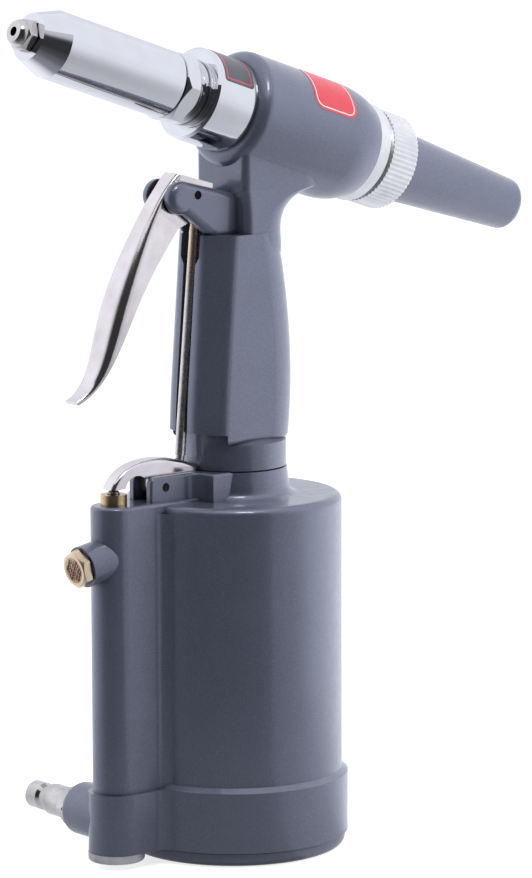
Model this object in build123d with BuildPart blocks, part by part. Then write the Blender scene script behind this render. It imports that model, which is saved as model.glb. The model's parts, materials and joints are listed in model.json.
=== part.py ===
from build123d import *
import os
from math import atan2, cos, radians, sin, sqrt, tan

# Pneumatic riveter for blind rivets, in millimetres.
# +X points to the nose, +Y to the tool's left side, +Z up.
# The origin is the centre of the foot, on the axis of the air cylinder.

# Clearances
FIT = 0.06            # radial room of seated, screwed and pressed pieces
PIN_FIT = 0.05        # radial room of hinge pins
RUN = 0.35            # room beside pieces that move
TOUCH = 0.3           # gap at rest between pieces that press on each other

# Air cylinder casting
CYLINDER_R = 36.0
CYLINDER_WALL = 3.0
CYLINDER_BORE_R = CYLINDER_R - CYLINDER_WALL
CYLINDER_TOP = 119.0
CYLINDER_EDGE = 2.5
CYLINDER_BOTTOM = 4.9
TOP_WALL = 7.0
BAND_OUT = 2.0
BAND_R = CYLINDER_R + BAND_OUT
BAND_TOP = 25.0
BAND_STEP = 1.5
NECK_ROOT_R = 19.0
NECK_TOP_R = 17.8
NECK_FILLET = 3.0
NECK_H = 9.0
GRIP_SEAT = CYLINDER_TOP + NECK_H     # height of the joint between cylinder and grip

# Foot
FOOT_IN = 1.0         # how far the foot stands back from the band
FOOT_R = BAND_R - FOOT_IN
FOOT_RIM = 4.5
FOOT_EDGE = 3.0
FOOT_SPIGOT_TOP = 13.6
FOOT_SPIGOT_WALL = 5.5
FOOT_THREAD_DEPTH = 0.6
FOOT_THREAD_R = CYLINDER_BORE_R + FOOT_THREAD_DEPTH

# Valve column
COLUMN_OUT = 14.1     # from the cylinder's wall to the column's axis
COLUMN_X = CYLINDER_R + COLUMN_OUT
COLUMN_R = 7.7
COLUMN_RISE = 1.0
COLUMN_TOP = CYLINDER_TOP + COLUMN_RISE
COLUMN_EDGE = 1.2
COLUMN_FOOT_OUT = 1.5
COLUMN_FOOT_R = COLUMN_R + COLUMN_FOOT_OUT
COLUMN_ROOT_FILLET = 4.0
COLUMN_CAP_R = COLUMN_FOOT_R + 0.1
COLUMN_CAP_H = 2.9
COLUMN_CAP_EDGE = 1.0
COLUMN_CAP_SPIGOT_R = 5.0
COLUMN_CAP_SPIGOT_H = 8.0
VALVE_CHAMBER_R = 4.0
VALVE_CHAMBER_DEPTH = 36.0
VALVE_SPRING_SEAT = COLUMN_TOP - VALVE_CHAMBER_DEPTH
AIR_WAY_R = 3.0
FEED_R = 2.0          # air way from the valve to the underside of the piston
FEED_OUT = 5.0
FEED_X = CYLINDER_R + FEED_OUT
FEED_RISE = 13.0
FEED_TOP = VALVE_SPRING_SEAT + FEED_RISE
FEED_BOTTOM = 17.0

# Valve
BUSH_HEAD_R = 4.35
BUSH_HEAD_H = 3.6
BUSH_L = 13.0
BUSH_BOTTOM = COLUMN_TOP - BUSH_L
BUSH_SEAL_DOWN = 7.0
BUSH_SEAL_Z = COLUMN_TOP - BUSH_SEAL_DOWN
BUSH_SEAL_T = 1.4
BUSH_SEAL_DEPTH = 0.9
STEM_R = 1.9
STEM_OUT = 1.4
STEM_TOP = COLUMN_TOP + BUSH_HEAD_H + STEM_OUT
STEM_DOME = 0.7
STEM_SPOOL_R = 3.5
STEM_SPOOL_H = 5.0

# Muffler, on an axis that leaves the column and points down
MUFFLER_TILT = 11.0
MUFFLER_DOWN = 16.5
MUFFLER_Z = COLUMN_TOP - MUFFLER_DOWN
MUFFLER_BOSS_R = 6.9
MUFFLER_BOSS_OUT = 13.2
MUFFLER_HEX = 11.1
MUFFLER_HEX_L = 3.6
MUFFLER_OUT = MUFFLER_BOSS_OUT + MUFFLER_HEX_L
MUFFLER_THREAD_R = 4.6
MUFFLER_THREAD_L = 5.8
MUFFLER_SCREEN_R = 4.2
MUFFLER_SCREEN_T = 1.4
MUFFLER_EDGE = 0.4

# Air inlet, on the tool's right side
INLET_Z = 16.0
INLET_BOSS_R = 8.8
INLET_BOSS_Y = 19.3
INLET_BOSS_EDGE = 2.0
PLUG_THREAD_R = 5.0
PLUG_THREAD_L = 9.0
PLUG_HEX = 12.0
PLUG_HEX_L = 4.0
PLUG_BODY_R = 5.3
PLUG_BODY_L = 10.5
PLUG_GROOVE_R = 3.7
PLUG_GROOVE_L = 2.6
PLUG_TIP_R = 4.6
PLUG_TIP_L = 7.7
PLUG_BORE_R = 3.0
PLUG_WASHER_R = INLET_BOSS_R - INLET_BOSS_EDGE
PLUG_WASHER_T = 1.2
PLUG_HEX_EDGE = 0.3
PLUG_SLOPE = 1.2

# Grip
COLLAR_R = 17.6
COLLAR_H = 9.0
COLLAR_TOP = GRIP_SEAT + COLLAR_H
COLLAR_SLOPE = 1.2
COLLAR_CHAMFER = 0.5
GRIP_HALF = 14.5
GRIP_CORNER = 13.0    # round of the rear corners
GRIP_FLAT = 6.0       # half width of the front face
GRIP_FLAT_ROUND = 5.0
GRIP_PANEL = 6.6      # depth of the slanted finger panels beside it
GRIP_PANEL_ROUND = 4.0
GRIP_L = 78.0
GRIP_TOP = GRIP_SEAT + GRIP_L
GRIP_EDGE = 2.0
PANEL_LIFT = 3.6      # how far the finger panels end above the collar
PANEL_END_R = 19.4
PANEL_END_RISE = 3.0
PANEL_END_REACH = 25.0
PANEL_END_ANGLE = 46.0
# Height, front and rear of the grip's sections
GRIP_SECTIONS = (
    (COLLAR_TOP, 22.0, -18.3),
    (GRIP_SEAT + 22.0, 21.6, -19.5),
    (GRIP_SEAT + 38.5, 20.4, -19.5),
    (GRIP_SEAT + 55.0, 19.1, -18.1),
    (GRIP_TOP, 17.3, -14.0),
)
ROD_SLOT_ROOM = 1.8   # depth of the slot behind the rod
EYE_SLOT_ROOM = 2.4
ROD_SLOT_HALF = 3.0
EYE_SLOT_HALF = 4.8
EYE_SLOT_L = 10.0
EYE_SLOT_BOTTOM = GRIP_TOP - EYE_SLOT_L
EYE_SLOT_SHOULDER = 2.6
OIL_TUBE_R = 11.0
OIL_TUBE_BORE_R = 7.4
OIL_TUBE_DOWN = 11.0
OIL_TUBE_TOP = GRIP_TOP - OIL_TUBE_DOWN
OIL_WAY_R = 2.5

# Rocker and its bracket on the cylinder
ROD_FOOT_X = 22.5     # where the pull rod's axis passes the height below
ROD_FOOT_RISE = 5.6
ROD_FOOT_Z = GRIP_SEAT + ROD_FOOT_RISE
ROCKER_ARM = 10.7     # from the pull rod to the rocker's pin
ROCKER_X = ROD_FOOT_X + ROCKER_ARM
BRACKET_OUT = 6.0
BRACKET_REACH = 6.1
BRACKET_FRONT = ROCKER_X + BRACKET_REACH
BRACKET_H = 9.3
BRACKET_TOP = CYLINDER_TOP + BRACKET_H
BRACKET_FILLET = 4.5
BRACKET_EDGE = 2.5
BRACKET_RIM = 0.8
PAD_HALF = 13.7
PAD_REAR = 8.0
PAD_OUT = 0.5
PAD_FRONT = NECK_ROOT_R + PAD_OUT
ROCKER_RISE = 5.7
ROCKER_Z = CYLINDER_TOP + ROCKER_RISE
ROCKER_HALF = 3.2
ROCKER_PIN_R = 1.4
ROCKER_HUB_R = 3.4
ROCKER_TAIL_X = COLLAR_R
ROCKER_TAIL_RISE = 8.0
ROCKER_TAIL_Z = CYLINDER_TOP + ROCKER_TAIL_RISE
ROCKER_TAIL_T = 3.4
ROCKER_CROWN = (ROCKER_X + 4.8, ROCKER_Z + 9.1)
ROCKER_TOE_OUT = 2.8
ROCKER_TOE_X = COLUMN_X + ROCKER_TOE_OUT
ROCKER_TOE_L = 5.3
ROCKER_ARCH = (COLUMN_X - 4.7, ROCKER_Z + 3.7)
ROCKER_EDGE = 1.5
ROCKER_TAIL_SLOPE = (1, 0.35)
ROCKER_TOE_SLOPE = (0.45, -1)

# Head barrel, along its axis from the grip's axis
BARREL_TILT = 18.07
BARREL_RISE = 40.24
BARREL_HEIGHT = GRIP_TOP + BARREL_RISE
SLEEVE_R = 15.45
BARREL_WALL = 4.05
BARREL_R = SLEEVE_R + BARREL_WALL
BARREL_FRONT = 2.3
BARREL_FRONT_EDGE = 3.8
BARREL_L = 54.6
BARREL_REAR = BARREL_FRONT - BARREL_L
BARREL_REAR_DROP = 2.6
BARREL_REAR_R = BARREL_R - BARREL_REAR_DROP
BARREL_REAR_ROUND = 12.0
NECK_FRONT = 5.0
NECK_CORNER = 2.5
NECK_REAR_CORNER = 10.0
# Height and rear of the neck's sections, up into the barrel, and how much narrower they are than the grip
NECK_SECTIONS = (
    (GRIP_TOP - 9.0, -14.0, 0.7),
    (GRIP_TOP, -14.1, 0.2),
    (GRIP_TOP + 6.0, -15.4, 0.4),
    (GRIP_TOP + 9.6, -18.6, 0.7),
    (GRIP_TOP + 12.0, -23.2, 1.0),
    (GRIP_TOP + 14.0, -31.0, 1.5),
)
NECK_TOP = GRIP_TOP + 34.0
NECK_NOTCH_TOP = GRIP_TOP + 21.5

# Pull cylinder in the head
SLEEVE_OUT = 16.9
SLEEVE_FRONT = BARREL_FRONT + SLEEVE_OUT
SLEEVE_TUBE_WALL = 2.85
SLEEVE_BORE_R = SLEEVE_R - SLEEVE_TUBE_WALL
SLEEVE_CHAMFER = 0.8
SLEEVE_SEAT_DEPTH = 5.2
SLEEVE_SEAT = SLEEVE_FRONT - SLEEVE_SEAT_DEPTH    # where the nose housing's thread ends
SLEEVE_WALL_T = 4.0
SLEEVE_WALL = SLEEVE_SEAT - SLEEVE_WALL_T         # rear face of the front wall
ROD_SEAL_T = 2.0
ROD_SEAL_DEPTH = 2.2

# Nose
HOUSING_R = 11.15
HOUSING_CONE_DROP = 3.3
HOUSING_FRONT_R = HOUSING_R - HOUSING_CONE_DROP
HOUSING_THREAD_DEPTH = 0.65
HOUSING_THREAD_R = HOUSING_R - HOUSING_THREAD_DEPTH
HOUSING_WALL = 3.05
HOUSING_BORE_R = HOUSING_R - HOUSING_WALL
HOUSING_EDGE = 0.8
LOCK_NUT_WALL = 0.5
LOCK_NUT_HEX = 2 * (HOUSING_THREAD_R + LOCK_NUT_WALL)
LOCK_NUT_T = 5.7
LOCK_NUT_EDGE = 0.3
THREAD_SHOWN = 4.1    # bare thread between the pull cylinder and the lock nut
HOUSING_SHOULDER = SLEEVE_FRONT + THREAD_SHOWN + LOCK_NUT_T
HOUSING_L = 57.5
HOUSING_FRONT = HOUSING_SHOULDER + HOUSING_L
HOUSING_CONE_L = 9.1
HOUSING_CONE = HOUSING_FRONT - HOUSING_CONE_L
HOUSING_END_WALL = 10.5
HOUSING_BORE_END = HOUSING_FRONT - HOUSING_END_WALL
NOSE_HEX = 9.4
NOSE_HEX_T = 3.8
NOSE_HEX_EDGE = 0.3
NOSE_DOME = 2.4
NOSE_TIP = HOUSING_FRONT + NOSE_HEX_T + NOSE_DOME
NOSE_TIP_R = 3.4
NOSE_THREAD_R = 4.5
NOSE_TAIL_L = 2.6
NOSE_TAIL = HOUSING_BORE_END - NOSE_TAIL_L
NOSE_TAIL_R = 2.4
NOSE_HOLE_R = 1.55

# Rear of the head
CAP_RIM_R = BARREL_REAR_R - 0.1
CAP_RIM_T = 5.4
CAP_RIM_CHAMFER = 1.2
CAP_SPIGOT_L = 10.3
SLEEVE_REAR = BARREL_REAR + CAP_SPIGOT_L
SLEEVE_LEDGE = 2.25   # step of the bore that stops the pull cylinder
CAP_SPIGOT_R = SLEEVE_R - SLEEVE_LEDGE
CAP_SPIGOT_WALL = 1.3
CAP_POCKET_R = CAP_SPIGOT_R - CAP_SPIGOT_WALL
CAP_FLOOR = 6.6
CAP_TAIL_R = 10.6
CAP_TAIL_T = 6.2
RING_R = 16.3
RING_T = 12.8
RING_TEETH = 60
RING_TOOTH = 0.45
RING_BEVEL = 0.9
RING_WEB_T = 2.0
RING_WEB_R = 8.8
COLLECTOR_R = 12.2
COLLECTOR_END_R = 8.8
COLLECTOR_L = 57.7
COLLECTOR_END_EDGE = 3.0
COLLECTOR_WALL = 1.8
COLLECTOR_STEP = 1.0
COLLECTOR_NECK_R = COLLECTOR_R - COLLECTOR_STEP
COLLECTOR_NECK_L = 4.2

# Pulling gear
PISTON_BACK = 18.0
PISTON_FRONT = SLEEVE_WALL - PISTON_BACK
PISTON_T = 10.0
PULL_ROD_R = 5.2
ROD_SEAL_R = PULL_ROD_R + ROD_SEAL_DEPTH
PULL_TUBE_R = 4.2
PULL_TUBE_OUT = 2.3
PULL_TUBE_REAR = BARREL_REAR - CAP_RIM_T - PULL_TUBE_OUT
MANDREL_WAY_R = 2.6
PULL_SEAL_DEPTH = 2.4
PULL_SEAL_T = 3.0
JAW_NUT_IN = 1.0
JAW_NUT_REAR = HOUSING_SHOULDER + JAW_NUT_IN
JAW_NUT_T = 4.0
JAW_NUT_HEX = 13.0
JAW_CASE_ROOM = 0.4
JAW_CASE_R = HOUSING_BORE_R - JAW_CASE_ROOM
JAW_CASE_OVER = 0.6   # how far the jaw case covers the tail of the nose piece
JAW_CASE_FRONT = NOSE_TAIL + JAW_CASE_OVER
JAW_CASE_WALL = 2.2
JAW_CHAMBER_R = JAW_CASE_R - JAW_CASE_WALL
JAW_CONE_L = 14.0
JAW_CONE_START = JAW_CASE_FRONT - JAW_CONE_L
JAW_MOUTH_R = 3.2
JAW_PUSHER_R = JAW_CHAMBER_R - 0.6
JAW_PUSHER_L = 4.5
JAW_PUSHER_REAR = JAW_CONE_START - JAW_PUSHER_L
PUSHER_SPRING_L = 9.5
PULL_ROD_FRONT = JAW_PUSHER_REAR - PUSHER_SPRING_L
JAW_COUNT = 3
JAW_BACK = 1.2
JAW_FRONT = JAW_CASE_FRONT - JAW_BACK
JAW_L = 10.2
JAW_REAR = JAW_FRONT - JAW_L
JAW_GRIP_R = 1.3
JAW_SLIT = 0.8
JAW_ROOM = 0.45       # between the open jaws and their cone

# Air piston and ram
AIR_PISTON_BOTTOM = FOOT_SPIGOT_TOP + TOUCH
AIR_PISTON_T = 12.0
AIR_SEAL_DEPTH = 3.0
AIR_SEAL_T = 4.0
RAM_R = 5.5
RAM_STUD_R = 4.0
RAM_NUT_HEX = 13.0
RAM_NUT_T = 5.0
RAM_STUD_OUT = 0.9
RAM_STUD_BOTTOM = AIR_PISTON_BOTTOM - RAM_NUT_T - RAM_STUD_OUT
HANDLE_NUT_WALL = 6.0
HANDLE_NUT_HEX = 2 * (OIL_TUBE_R + HANDLE_NUT_WALL)
HANDLE_NUT_T = 8.0
OIL_TUBE_L = 20.0     # length of the oil tube below the top of the cylinder
OIL_TUBE_BOTTOM = CYLINDER_TOP - OIL_TUBE_L
GLAND_T = 11.0
RAM_SEAL_T = 3.4
RAM_OUT = 3.6
RAM_TOP = OIL_TUBE_BOTTOM + GLAND_T + RAM_SEAL_T + RAM_OUT
BUMPER_WALL = 9.0
BUMPER_R = OIL_TUBE_R + BUMPER_WALL
BUMPER_T = 6.0

# Trigger ears, given as (x, z) points
EAR_IN = 4.4
EAR_OUT = 8.4
EAR_EDGE = 2.6
EAR_ROOT_TOP = GRIP_TOP + 11.9
EAR_TIP_TOP = (25.5, GRIP_TOP + 18.3)
EAR_TIP = (32.0, GRIP_TOP + 13.2)
EAR_TIP_LOW = (25.6, GRIP_TOP + 7.4)
EAR_ROOT_LOW = (13.5, GRIP_TOP - 1.5)
TRIGGER_X = 21.0
TRIGGER_Z = GRIP_TOP + 13.6
TRIGGER_PIN_R = 1.4

# Trigger, a bent channel; its points are (x, z) from the trigger's pin
SHEET = 1.5
TRIGGER_TOP_HALF = EAR_IN - RUN
ROOF = ((-9.0, -5.2), (-9.7, 2.9), (3.0, 6.5), (12.8, -5.4), (4.7, -11.0))
ROOF_DROP = (-1.0, -1.6)      # from the outer to the inner side of the roof
# Stations down the front: point, direction, half width, depth and round of the bend
SHIN = (
    ((4.6, 7.0), (0.70, -0.71), TRIGGER_TOP_HALF, 10.0, 1.5),
    ((14.2, -4.2), (0.56, -0.83), TRIGGER_TOP_HALF, 11.6, 1.8),
    ((21.4, -16.0), (0.48, -0.88), 5.2, 9.4, 2.6),
    ((30.2, -34.2), (0.35, -0.94), 6.2, 6.5, 3.2),
    ((35.6, -50.6), (0.42, -0.91), 5.4, 3.6, 2.6),
    ((46.4, -64.0), (0.75, -0.66), 3.0, 1.6, 0.8),
)
HOLLOW_STATIONS = slice(1, 5)     # the hollow leaves out the brow and the toe
BEND_SHARE = 0.8      # how much of the wall the round loses on the inside of the bend

# Pull rod
EYE_X = TRIGGER_X - 6.2
EYE_Z = TRIGGER_Z - 1.6
EYE_R = 2.7
EYE_HALF = 2.2
EYE_PIN_R = 1.2
EYE_ROOM = 0.3
ROD_R = 1.8
ROD_END_R = 1.5
ROD_NUT_HEX = 6.0
ROD_NUT_T = 2.4
ROD_SLOT_PLAY = 0.45
ROD_SWING = 1.2

# Springs
RETURN_WIRE = 2.0
PUSHER_WIRE = 0.8
VALVE_WIRE = 0.8


# Directions and planes shared by the pieces
barrel_dir = Vector(cos(radians(BARREL_TILT)), 0, sin(radians(BARREL_TILT)))
barrel_origin = Vector(0, 0, BARREL_HEIGHT)
barrel_axis = Axis(barrel_origin, barrel_dir)
barrel_side = Plane(barrel_origin, x_dir=barrel_dir, z_dir=(0, -1, 0))
upright_side = Plane((0, 0, 0), x_dir=(0, 0, 1), z_dir=(0, 1, 0))
column_axis = Axis((COLUMN_X, 0, 0), (0, 0, 1))
column_side = Plane((COLUMN_X, 0, 0), x_dir=(0, 0, 1), z_dir=(0, 1, 0))
muffler_root = Vector(COLUMN_X, 0, MUFFLER_Z)
muffler_dir = Vector(1, 0, 0).rotate(Axis.Y, MUFFLER_TILT)
muffler_axis = Axis(muffler_root, muffler_dir)
muffler_side = Plane(muffler_root, x_dir=muffler_dir, z_dir=(0, -1, 0))
inlet_axis = Axis((COLUMN_X, 0, INLET_Z), (0, -1, 0))
inlet_side = Plane((COLUMN_X, 0, INLET_Z), x_dir=(0, -1, 0), z_dir=(-1, 0, 0))
rod_foot = Vector(ROD_FOOT_X, 0, ROD_FOOT_Z)
rod_dir = (Vector(EYE_X, 0, EYE_Z) - rod_foot).normalized()
rod_axis = Axis(rod_foot, rod_dir)
rod_side = Plane(rod_foot, x_dir=rod_dir, z_dir=(0, 1, 0))
trigger_point = Vector(TRIGGER_X, 0, TRIGGER_Z)
trigger_side = Plane(trigger_point, x_dir=(1, 0, 0), z_dir=(0, -1, 0))


def across_barrel(t):
    """A plane square to the barrel at t along it."""
    return Plane(barrel_origin + barrel_dir * t, x_dir=(0, 1, 0), z_dir=barrel_dir)


def turn(outline, side, axis, mode=Mode.ADD):
    """Revolve an outline of (along, radius) points about an axis."""
    with BuildSketch(side) as profile:
        with BuildLine():
            Polyline(*outline, close=True)
        make_face()
    revolve(profile.sketch, axis=axis, mode=mode)


def ring(start, end, inner, outer, side, axis, mode=Mode.ADD):
    """A plain ring, or a disc where the inner radius is zero."""
    turn([(start, inner), (start, outer), (end, outer), (end, inner)], side, axis, mode)


def hex_prism(plane, across_flats, length, bore_r, edge=0.0):
    """A hexagon along a plane's normal, with a bore and turned corners."""
    with BuildSketch(plane) as flats:
        RegularPolygon(across_flats / 2, 6, major_radius=False)
    extrude(flats.sketch, amount=length)
    if edge:
        corner = across_flats / sqrt(3)
        face = across_flats / 2 - edge
        rise = (corner - face) * tan(radians(30))
        side = Plane(plane.origin, x_dir=plane.z_dir, z_dir=plane.x_dir)
        barrel = [(0, 0), (0, face), (rise, corner), (length - rise, corner), (length, face), (length, 0)]
        turn(barrel, side, Axis(plane.origin, plane.z_dir), Mode.INTERSECT)
    if bore_r:
        with BuildSketch(plane) as bore:
            Circle(bore_r)
        extrude(bore.sketch, amount=length, mode=Mode.SUBTRACT)


def column_plan(half, body_r, height):
    """Plan of the valve column, blended into the round body behind it."""
    blend = COLUMN_ROOT_FILLET
    reach = sqrt((body_r + blend) ** 2 - (half + blend) ** 2)
    share = body_r / (body_r + blend)
    angle = atan2(half + blend, reach) / 2 + radians(45)
    waist = (reach - blend * sin(angle), half + blend - blend * cos(angle))
    with BuildSketch(Plane.XY.offset(height)) as plan:
        with BuildLine():
            root = (share * reach, share * (half + blend))
            outline = [
                Line((0, 0), root),
                ThreePointArc(root, waist, (reach, half)),
                Line((reach, half), (COLUMN_X, half)),
                ThreePointArc((COLUMN_X, half), (COLUMN_X + half * cos(radians(45)), half * sin(radians(45))),
                              (COLUMN_X + half, 0)),
            ]
            mirror(outline, about=Plane.XZ)
        make_face()
    return plan.sketch


def rod_x(z):
    """Where the axis of the pull rod is at a height."""
    return ROD_FOOT_X + (z - ROD_FOOT_Z) * rod_dir.X / rod_dir.Z


def grip_section(height, front, rear):
    """Section of the grip: a narrow front face, slanted finger panels, flat sides and a round rear."""
    side = front - GRIP_PANEL
    with BuildSketch(Plane.XY.offset(height), mode=Mode.PRIVATE) as section:
        with BuildLine():
            half = Polyline((front, 0), (front, GRIP_FLAT), (side, GRIP_HALF), (rear, GRIP_HALF), (rear, 0))
            mirror(half, about=Plane.XZ)
        make_face()
        corners = section.vertices().filter_by(lambda v: abs(v.Y) > FIT)
        fillet(corners.group_by(Axis.X)[0], GRIP_CORNER)
        fillet(section.vertices().filter_by(lambda v: abs(v.X - side) < FIT), GRIP_PANEL_ROUND)
        fillet(section.vertices().filter_by(lambda v: abs(abs(v.Y) - GRIP_FLAT) < FIT), GRIP_FLAT_ROUND)
    return section.sketch.face()


def trigger_section(station, wall, past):
    """U section of the trigger, square to its front, drawn in by a wall and reaching past its depth."""
    point, along, half, depth, bend = station
    down = Vector(along[0], 0, along[1])
    origin = trigger_point + Vector(point[0], 0, point[1])
    plane = Plane(origin, x_dir=(0, 1, 0), z_dir=down)
    side = half - wall
    bend = bend - BEND_SHARE * wall
    with BuildSketch(plane, mode=Mode.PRIVATE) as section:
        with BuildLine():
            front = Line((0, -wall), (side - bend, -wall))
            corner = TangentArc(front @ 1, (side, -wall - bend), tangent=(1, 0))
            flank = Polyline(corner @ 1, (side, -depth - past), (0, -depth - past))
            mirror([front, corner, flank], about=Plane.YZ)
        make_face()
    return section.sketch.face()


def trigger_roof(shift):
    """Side view of the trigger's upper end, moved by a shift."""
    with BuildSketch(trigger_side, mode=Mode.PRIVATE) as outline:
        with BuildLine():
            Polyline(*[(x + shift[0], z + shift[1]) for x, z in ROOF], close=True)
        make_face()
    return outline.sketch


def spring_sleeve(start, end, mean_r, wire, side, axis):
    """A hidden coil spring, kept as the sleeve that its turns fill."""
    ring(start, end, mean_r - wire / 2, mean_r + wire / 2, side, axis)


# Upper end of the valve column, with a rounded rim
with BuildPart() as column_top:
    with BuildSketch(Plane.XY.offset(BAND_TOP)):
        with Locations((COLUMN_X / 2, 0)):
            Rectangle(COLUMN_X, 2 * COLUMN_R)
        with Locations((COLUMN_X, 0)):
            Circle(COLUMN_R)
    extrude(amount=COLUMN_TOP - BAND_TOP)
    top_rim = column_top.edges().group_by(Axis.Z)[-1]
    fillet(top_rim.sort_by(Axis.X)[1:], COLUMN_EDGE)

# Rocker bracket, with its pad in front of the neck
with BuildPart() as bracket:
    with BuildSketch(Plane.XY.offset(CYLINDER_TOP - CYLINDER_EDGE)) as plan:
        with Locations(((PAD_REAR + PAD_FRONT) / 2, 0)):
            Rectangle(PAD_FRONT - PAD_REAR, 2 * PAD_HALF)
        with Locations(((PAD_REAR + BRACKET_FRONT) / 2, 0)):
            Rectangle(BRACKET_FRONT - PAD_REAR, 2 * BRACKET_OUT)
        inner = plan.vertices().filter_by(lambda v: abs(v.Y) < PAD_HALF and v.X < BRACKET_FRONT)
        fillet(inner, BRACKET_FILLET)
    extrude(amount=BRACKET_TOP - CYLINDER_TOP + CYLINDER_EDGE)
    front_face = bracket.faces().sort_by(Axis.X)[-1]
    fillet(front_face.edges().sort_by(Axis.Z)[-1], BRACKET_EDGE)
    top_rim = bracket.faces().sort_by(Axis.Z)[-1].edges()
    fillet(top_rim.filter_by_position(Axis.X, PAD_REAR + TOUCH, BRACKET_FRONT), BRACKET_RIM)

# Air cylinder, with its valve column, bosses, neck and rocker bracket
with BuildPart() as cylinder:
    body = [
        (CYLINDER_BOTTOM, 0),
        (CYLINDER_BOTTOM, BAND_R),
        (BAND_TOP, BAND_R),
        (BAND_TOP + BAND_STEP, CYLINDER_R),
        (CYLINDER_TOP, CYLINDER_R),
        (CYLINDER_TOP, NECK_ROOT_R),
        (GRIP_SEAT, NECK_TOP_R),
        (GRIP_SEAT, 0),
    ]
    turn(body, upright_side, Axis.Z)
    rims = cylinder.edges().filter_by(GeomType.CIRCLE).filter_by_position(Axis.Z, CYLINDER_TOP, CYLINDER_TOP)
    fillet(rims.sort_by(SortBy.RADIUS)[-1], CYLINDER_EDGE)
    rims = cylinder.edges().filter_by(GeomType.CIRCLE).filter_by_position(Axis.Z, CYLINDER_TOP, CYLINDER_TOP)
    fillet(rims.sort_by(SortBy.RADIUS)[0], NECK_FILLET)
    extrude(column_plan(COLUMN_R, CYLINDER_R, BAND_TOP), amount=CYLINDER_TOP - CYLINDER_EDGE - BAND_TOP)
    extrude(column_plan(COLUMN_FOOT_R, BAND_R, CYLINDER_BOTTOM), amount=BAND_TOP - CYLINDER_BOTTOM)
    extrude(column_plan(COLUMN_FOOT_R, BAND_R, BAND_TOP), amount=BAND_STEP, taper=45)
    add(column_top)
    add(bracket)
    ring(0, MUFFLER_BOSS_OUT, 0, MUFFLER_BOSS_R, muffler_side, muffler_axis)
    ring(0, INLET_BOSS_Y, 0, INLET_BOSS_R, inlet_side, inlet_axis)
    fillet(cylinder.edges().filter_by(GeomType.CIRCLE).sort_by(Axis.Y)[0], INLET_BOSS_EDGE)
    # Gap between the bracket walls, and room for the collar of the grip
    gap_rear = ROCKER_TAIL_X - 2 * RUN
    with BuildSketch(Plane.XY.offset(COLUMN_TOP)):
        with Locations(((gap_rear + BRACKET_FRONT) / 2, 0)):
            Rectangle(BRACKET_FRONT - gap_rear, 2 * (ROCKER_HALF + RUN))
    extrude(amount=BRACKET_TOP - COLUMN_TOP, mode=Mode.SUBTRACT)
    ring(GRIP_SEAT, BRACKET_TOP, 0, COLLAR_R + RUN, upright_side, Axis.Z, Mode.SUBTRACT)
    with Locations(Plane((ROCKER_X, 0, ROCKER_Z), x_dir=(1, 0, 0), z_dir=(0, 1, 0))):
        Cylinder(ROCKER_PIN_R + PIN_FIT, 4 * BRACKET_OUT, mode=Mode.SUBTRACT)
    # Bores: piston, foot thread, oil tube, valve, inlet, muffler and air ways
    ring(CYLINDER_BOTTOM, CYLINDER_TOP - TOP_WALL, 0, CYLINDER_BORE_R, upright_side, Axis.Z, Mode.SUBTRACT)
    ring(CYLINDER_BOTTOM, FOOT_SPIGOT_TOP, 0, FOOT_THREAD_R, upright_side, Axis.Z, Mode.SUBTRACT)
    ring(CYLINDER_BOTTOM, GRIP_SEAT, 0, OIL_TUBE_R + FIT, upright_side, Axis.Z, Mode.SUBTRACT)
    ring(VALVE_SPRING_SEAT, COLUMN_TOP, 0, VALVE_CHAMBER_R, column_side, column_axis, Mode.SUBTRACT)
    ring(CYLINDER_BOTTOM, VALVE_SPRING_SEAT, 0, AIR_WAY_R, column_side, column_axis, Mode.SUBTRACT)
    cap_bore = COLUMN_CAP_SPIGOT_R + FIT
    cap_end = CYLINDER_BOTTOM + COLUMN_CAP_SPIGOT_H
    ring(CYLINDER_BOTTOM, cap_end, 0, cap_bore, column_side, column_axis, Mode.SUBTRACT)
    thread_end = MUFFLER_BOSS_OUT - MUFFLER_THREAD_L
    ring(0, MUFFLER_BOSS_OUT, 0, AIR_WAY_R, muffler_side, muffler_axis, Mode.SUBTRACT)
    ring(thread_end, MUFFLER_BOSS_OUT, 0, MUFFLER_THREAD_R + FIT, muffler_side, muffler_axis, Mode.SUBTRACT)
    for start, end in (
        ((COLUMN_X, 0, FEED_TOP), (FEED_X, 0, FEED_TOP)),
        ((FEED_X, 0, FEED_TOP + FEED_R), (FEED_X, 0, FEED_BOTTOM - FEED_R)),
        ((FEED_X, 0, FEED_BOTTOM), (CYLINDER_BORE_R - FEED_R, 0, FEED_BOTTOM)),
    ):
        run = Vector(end) - Vector(start)
        with BuildSketch(Plane(start, z_dir=run)):
            Circle(FEED_R)
        extrude(amount=run.length, mode=Mode.SUBTRACT)
    ring(0, INLET_BOSS_Y, 0, AIR_WAY_R, inlet_side, inlet_axis, Mode.SUBTRACT)
    plug_seat = INLET_BOSS_Y - PLUG_THREAD_L
    ring(plug_seat, INLET_BOSS_Y, 0, PLUG_THREAD_R + FIT, inlet_side, inlet_axis, Mode.SUBTRACT)
cylinder.part.label = "cylinder"

# Foot screwed into the bottom of the cylinder
with BuildPart() as base_cap:
    spigot_r = FOOT_THREAD_R - FIT
    foot = [
        (0, 0),
        (0, FOOT_R),
        (FOOT_RIM, FOOT_R),
        (FOOT_RIM, spigot_r),
        (FOOT_SPIGOT_TOP, spigot_r),
        (FOOT_SPIGOT_TOP, spigot_r - FOOT_SPIGOT_WALL),
        (FOOT_RIM, spigot_r - FOOT_SPIGOT_WALL),
        (FOOT_RIM, 0),
    ]
    turn(foot, upright_side, Axis.Z)
    fillet(base_cap.edges().group_by(Axis.Z)[0], FOOT_EDGE)
base_cap.part.label = "base_cap"

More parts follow.
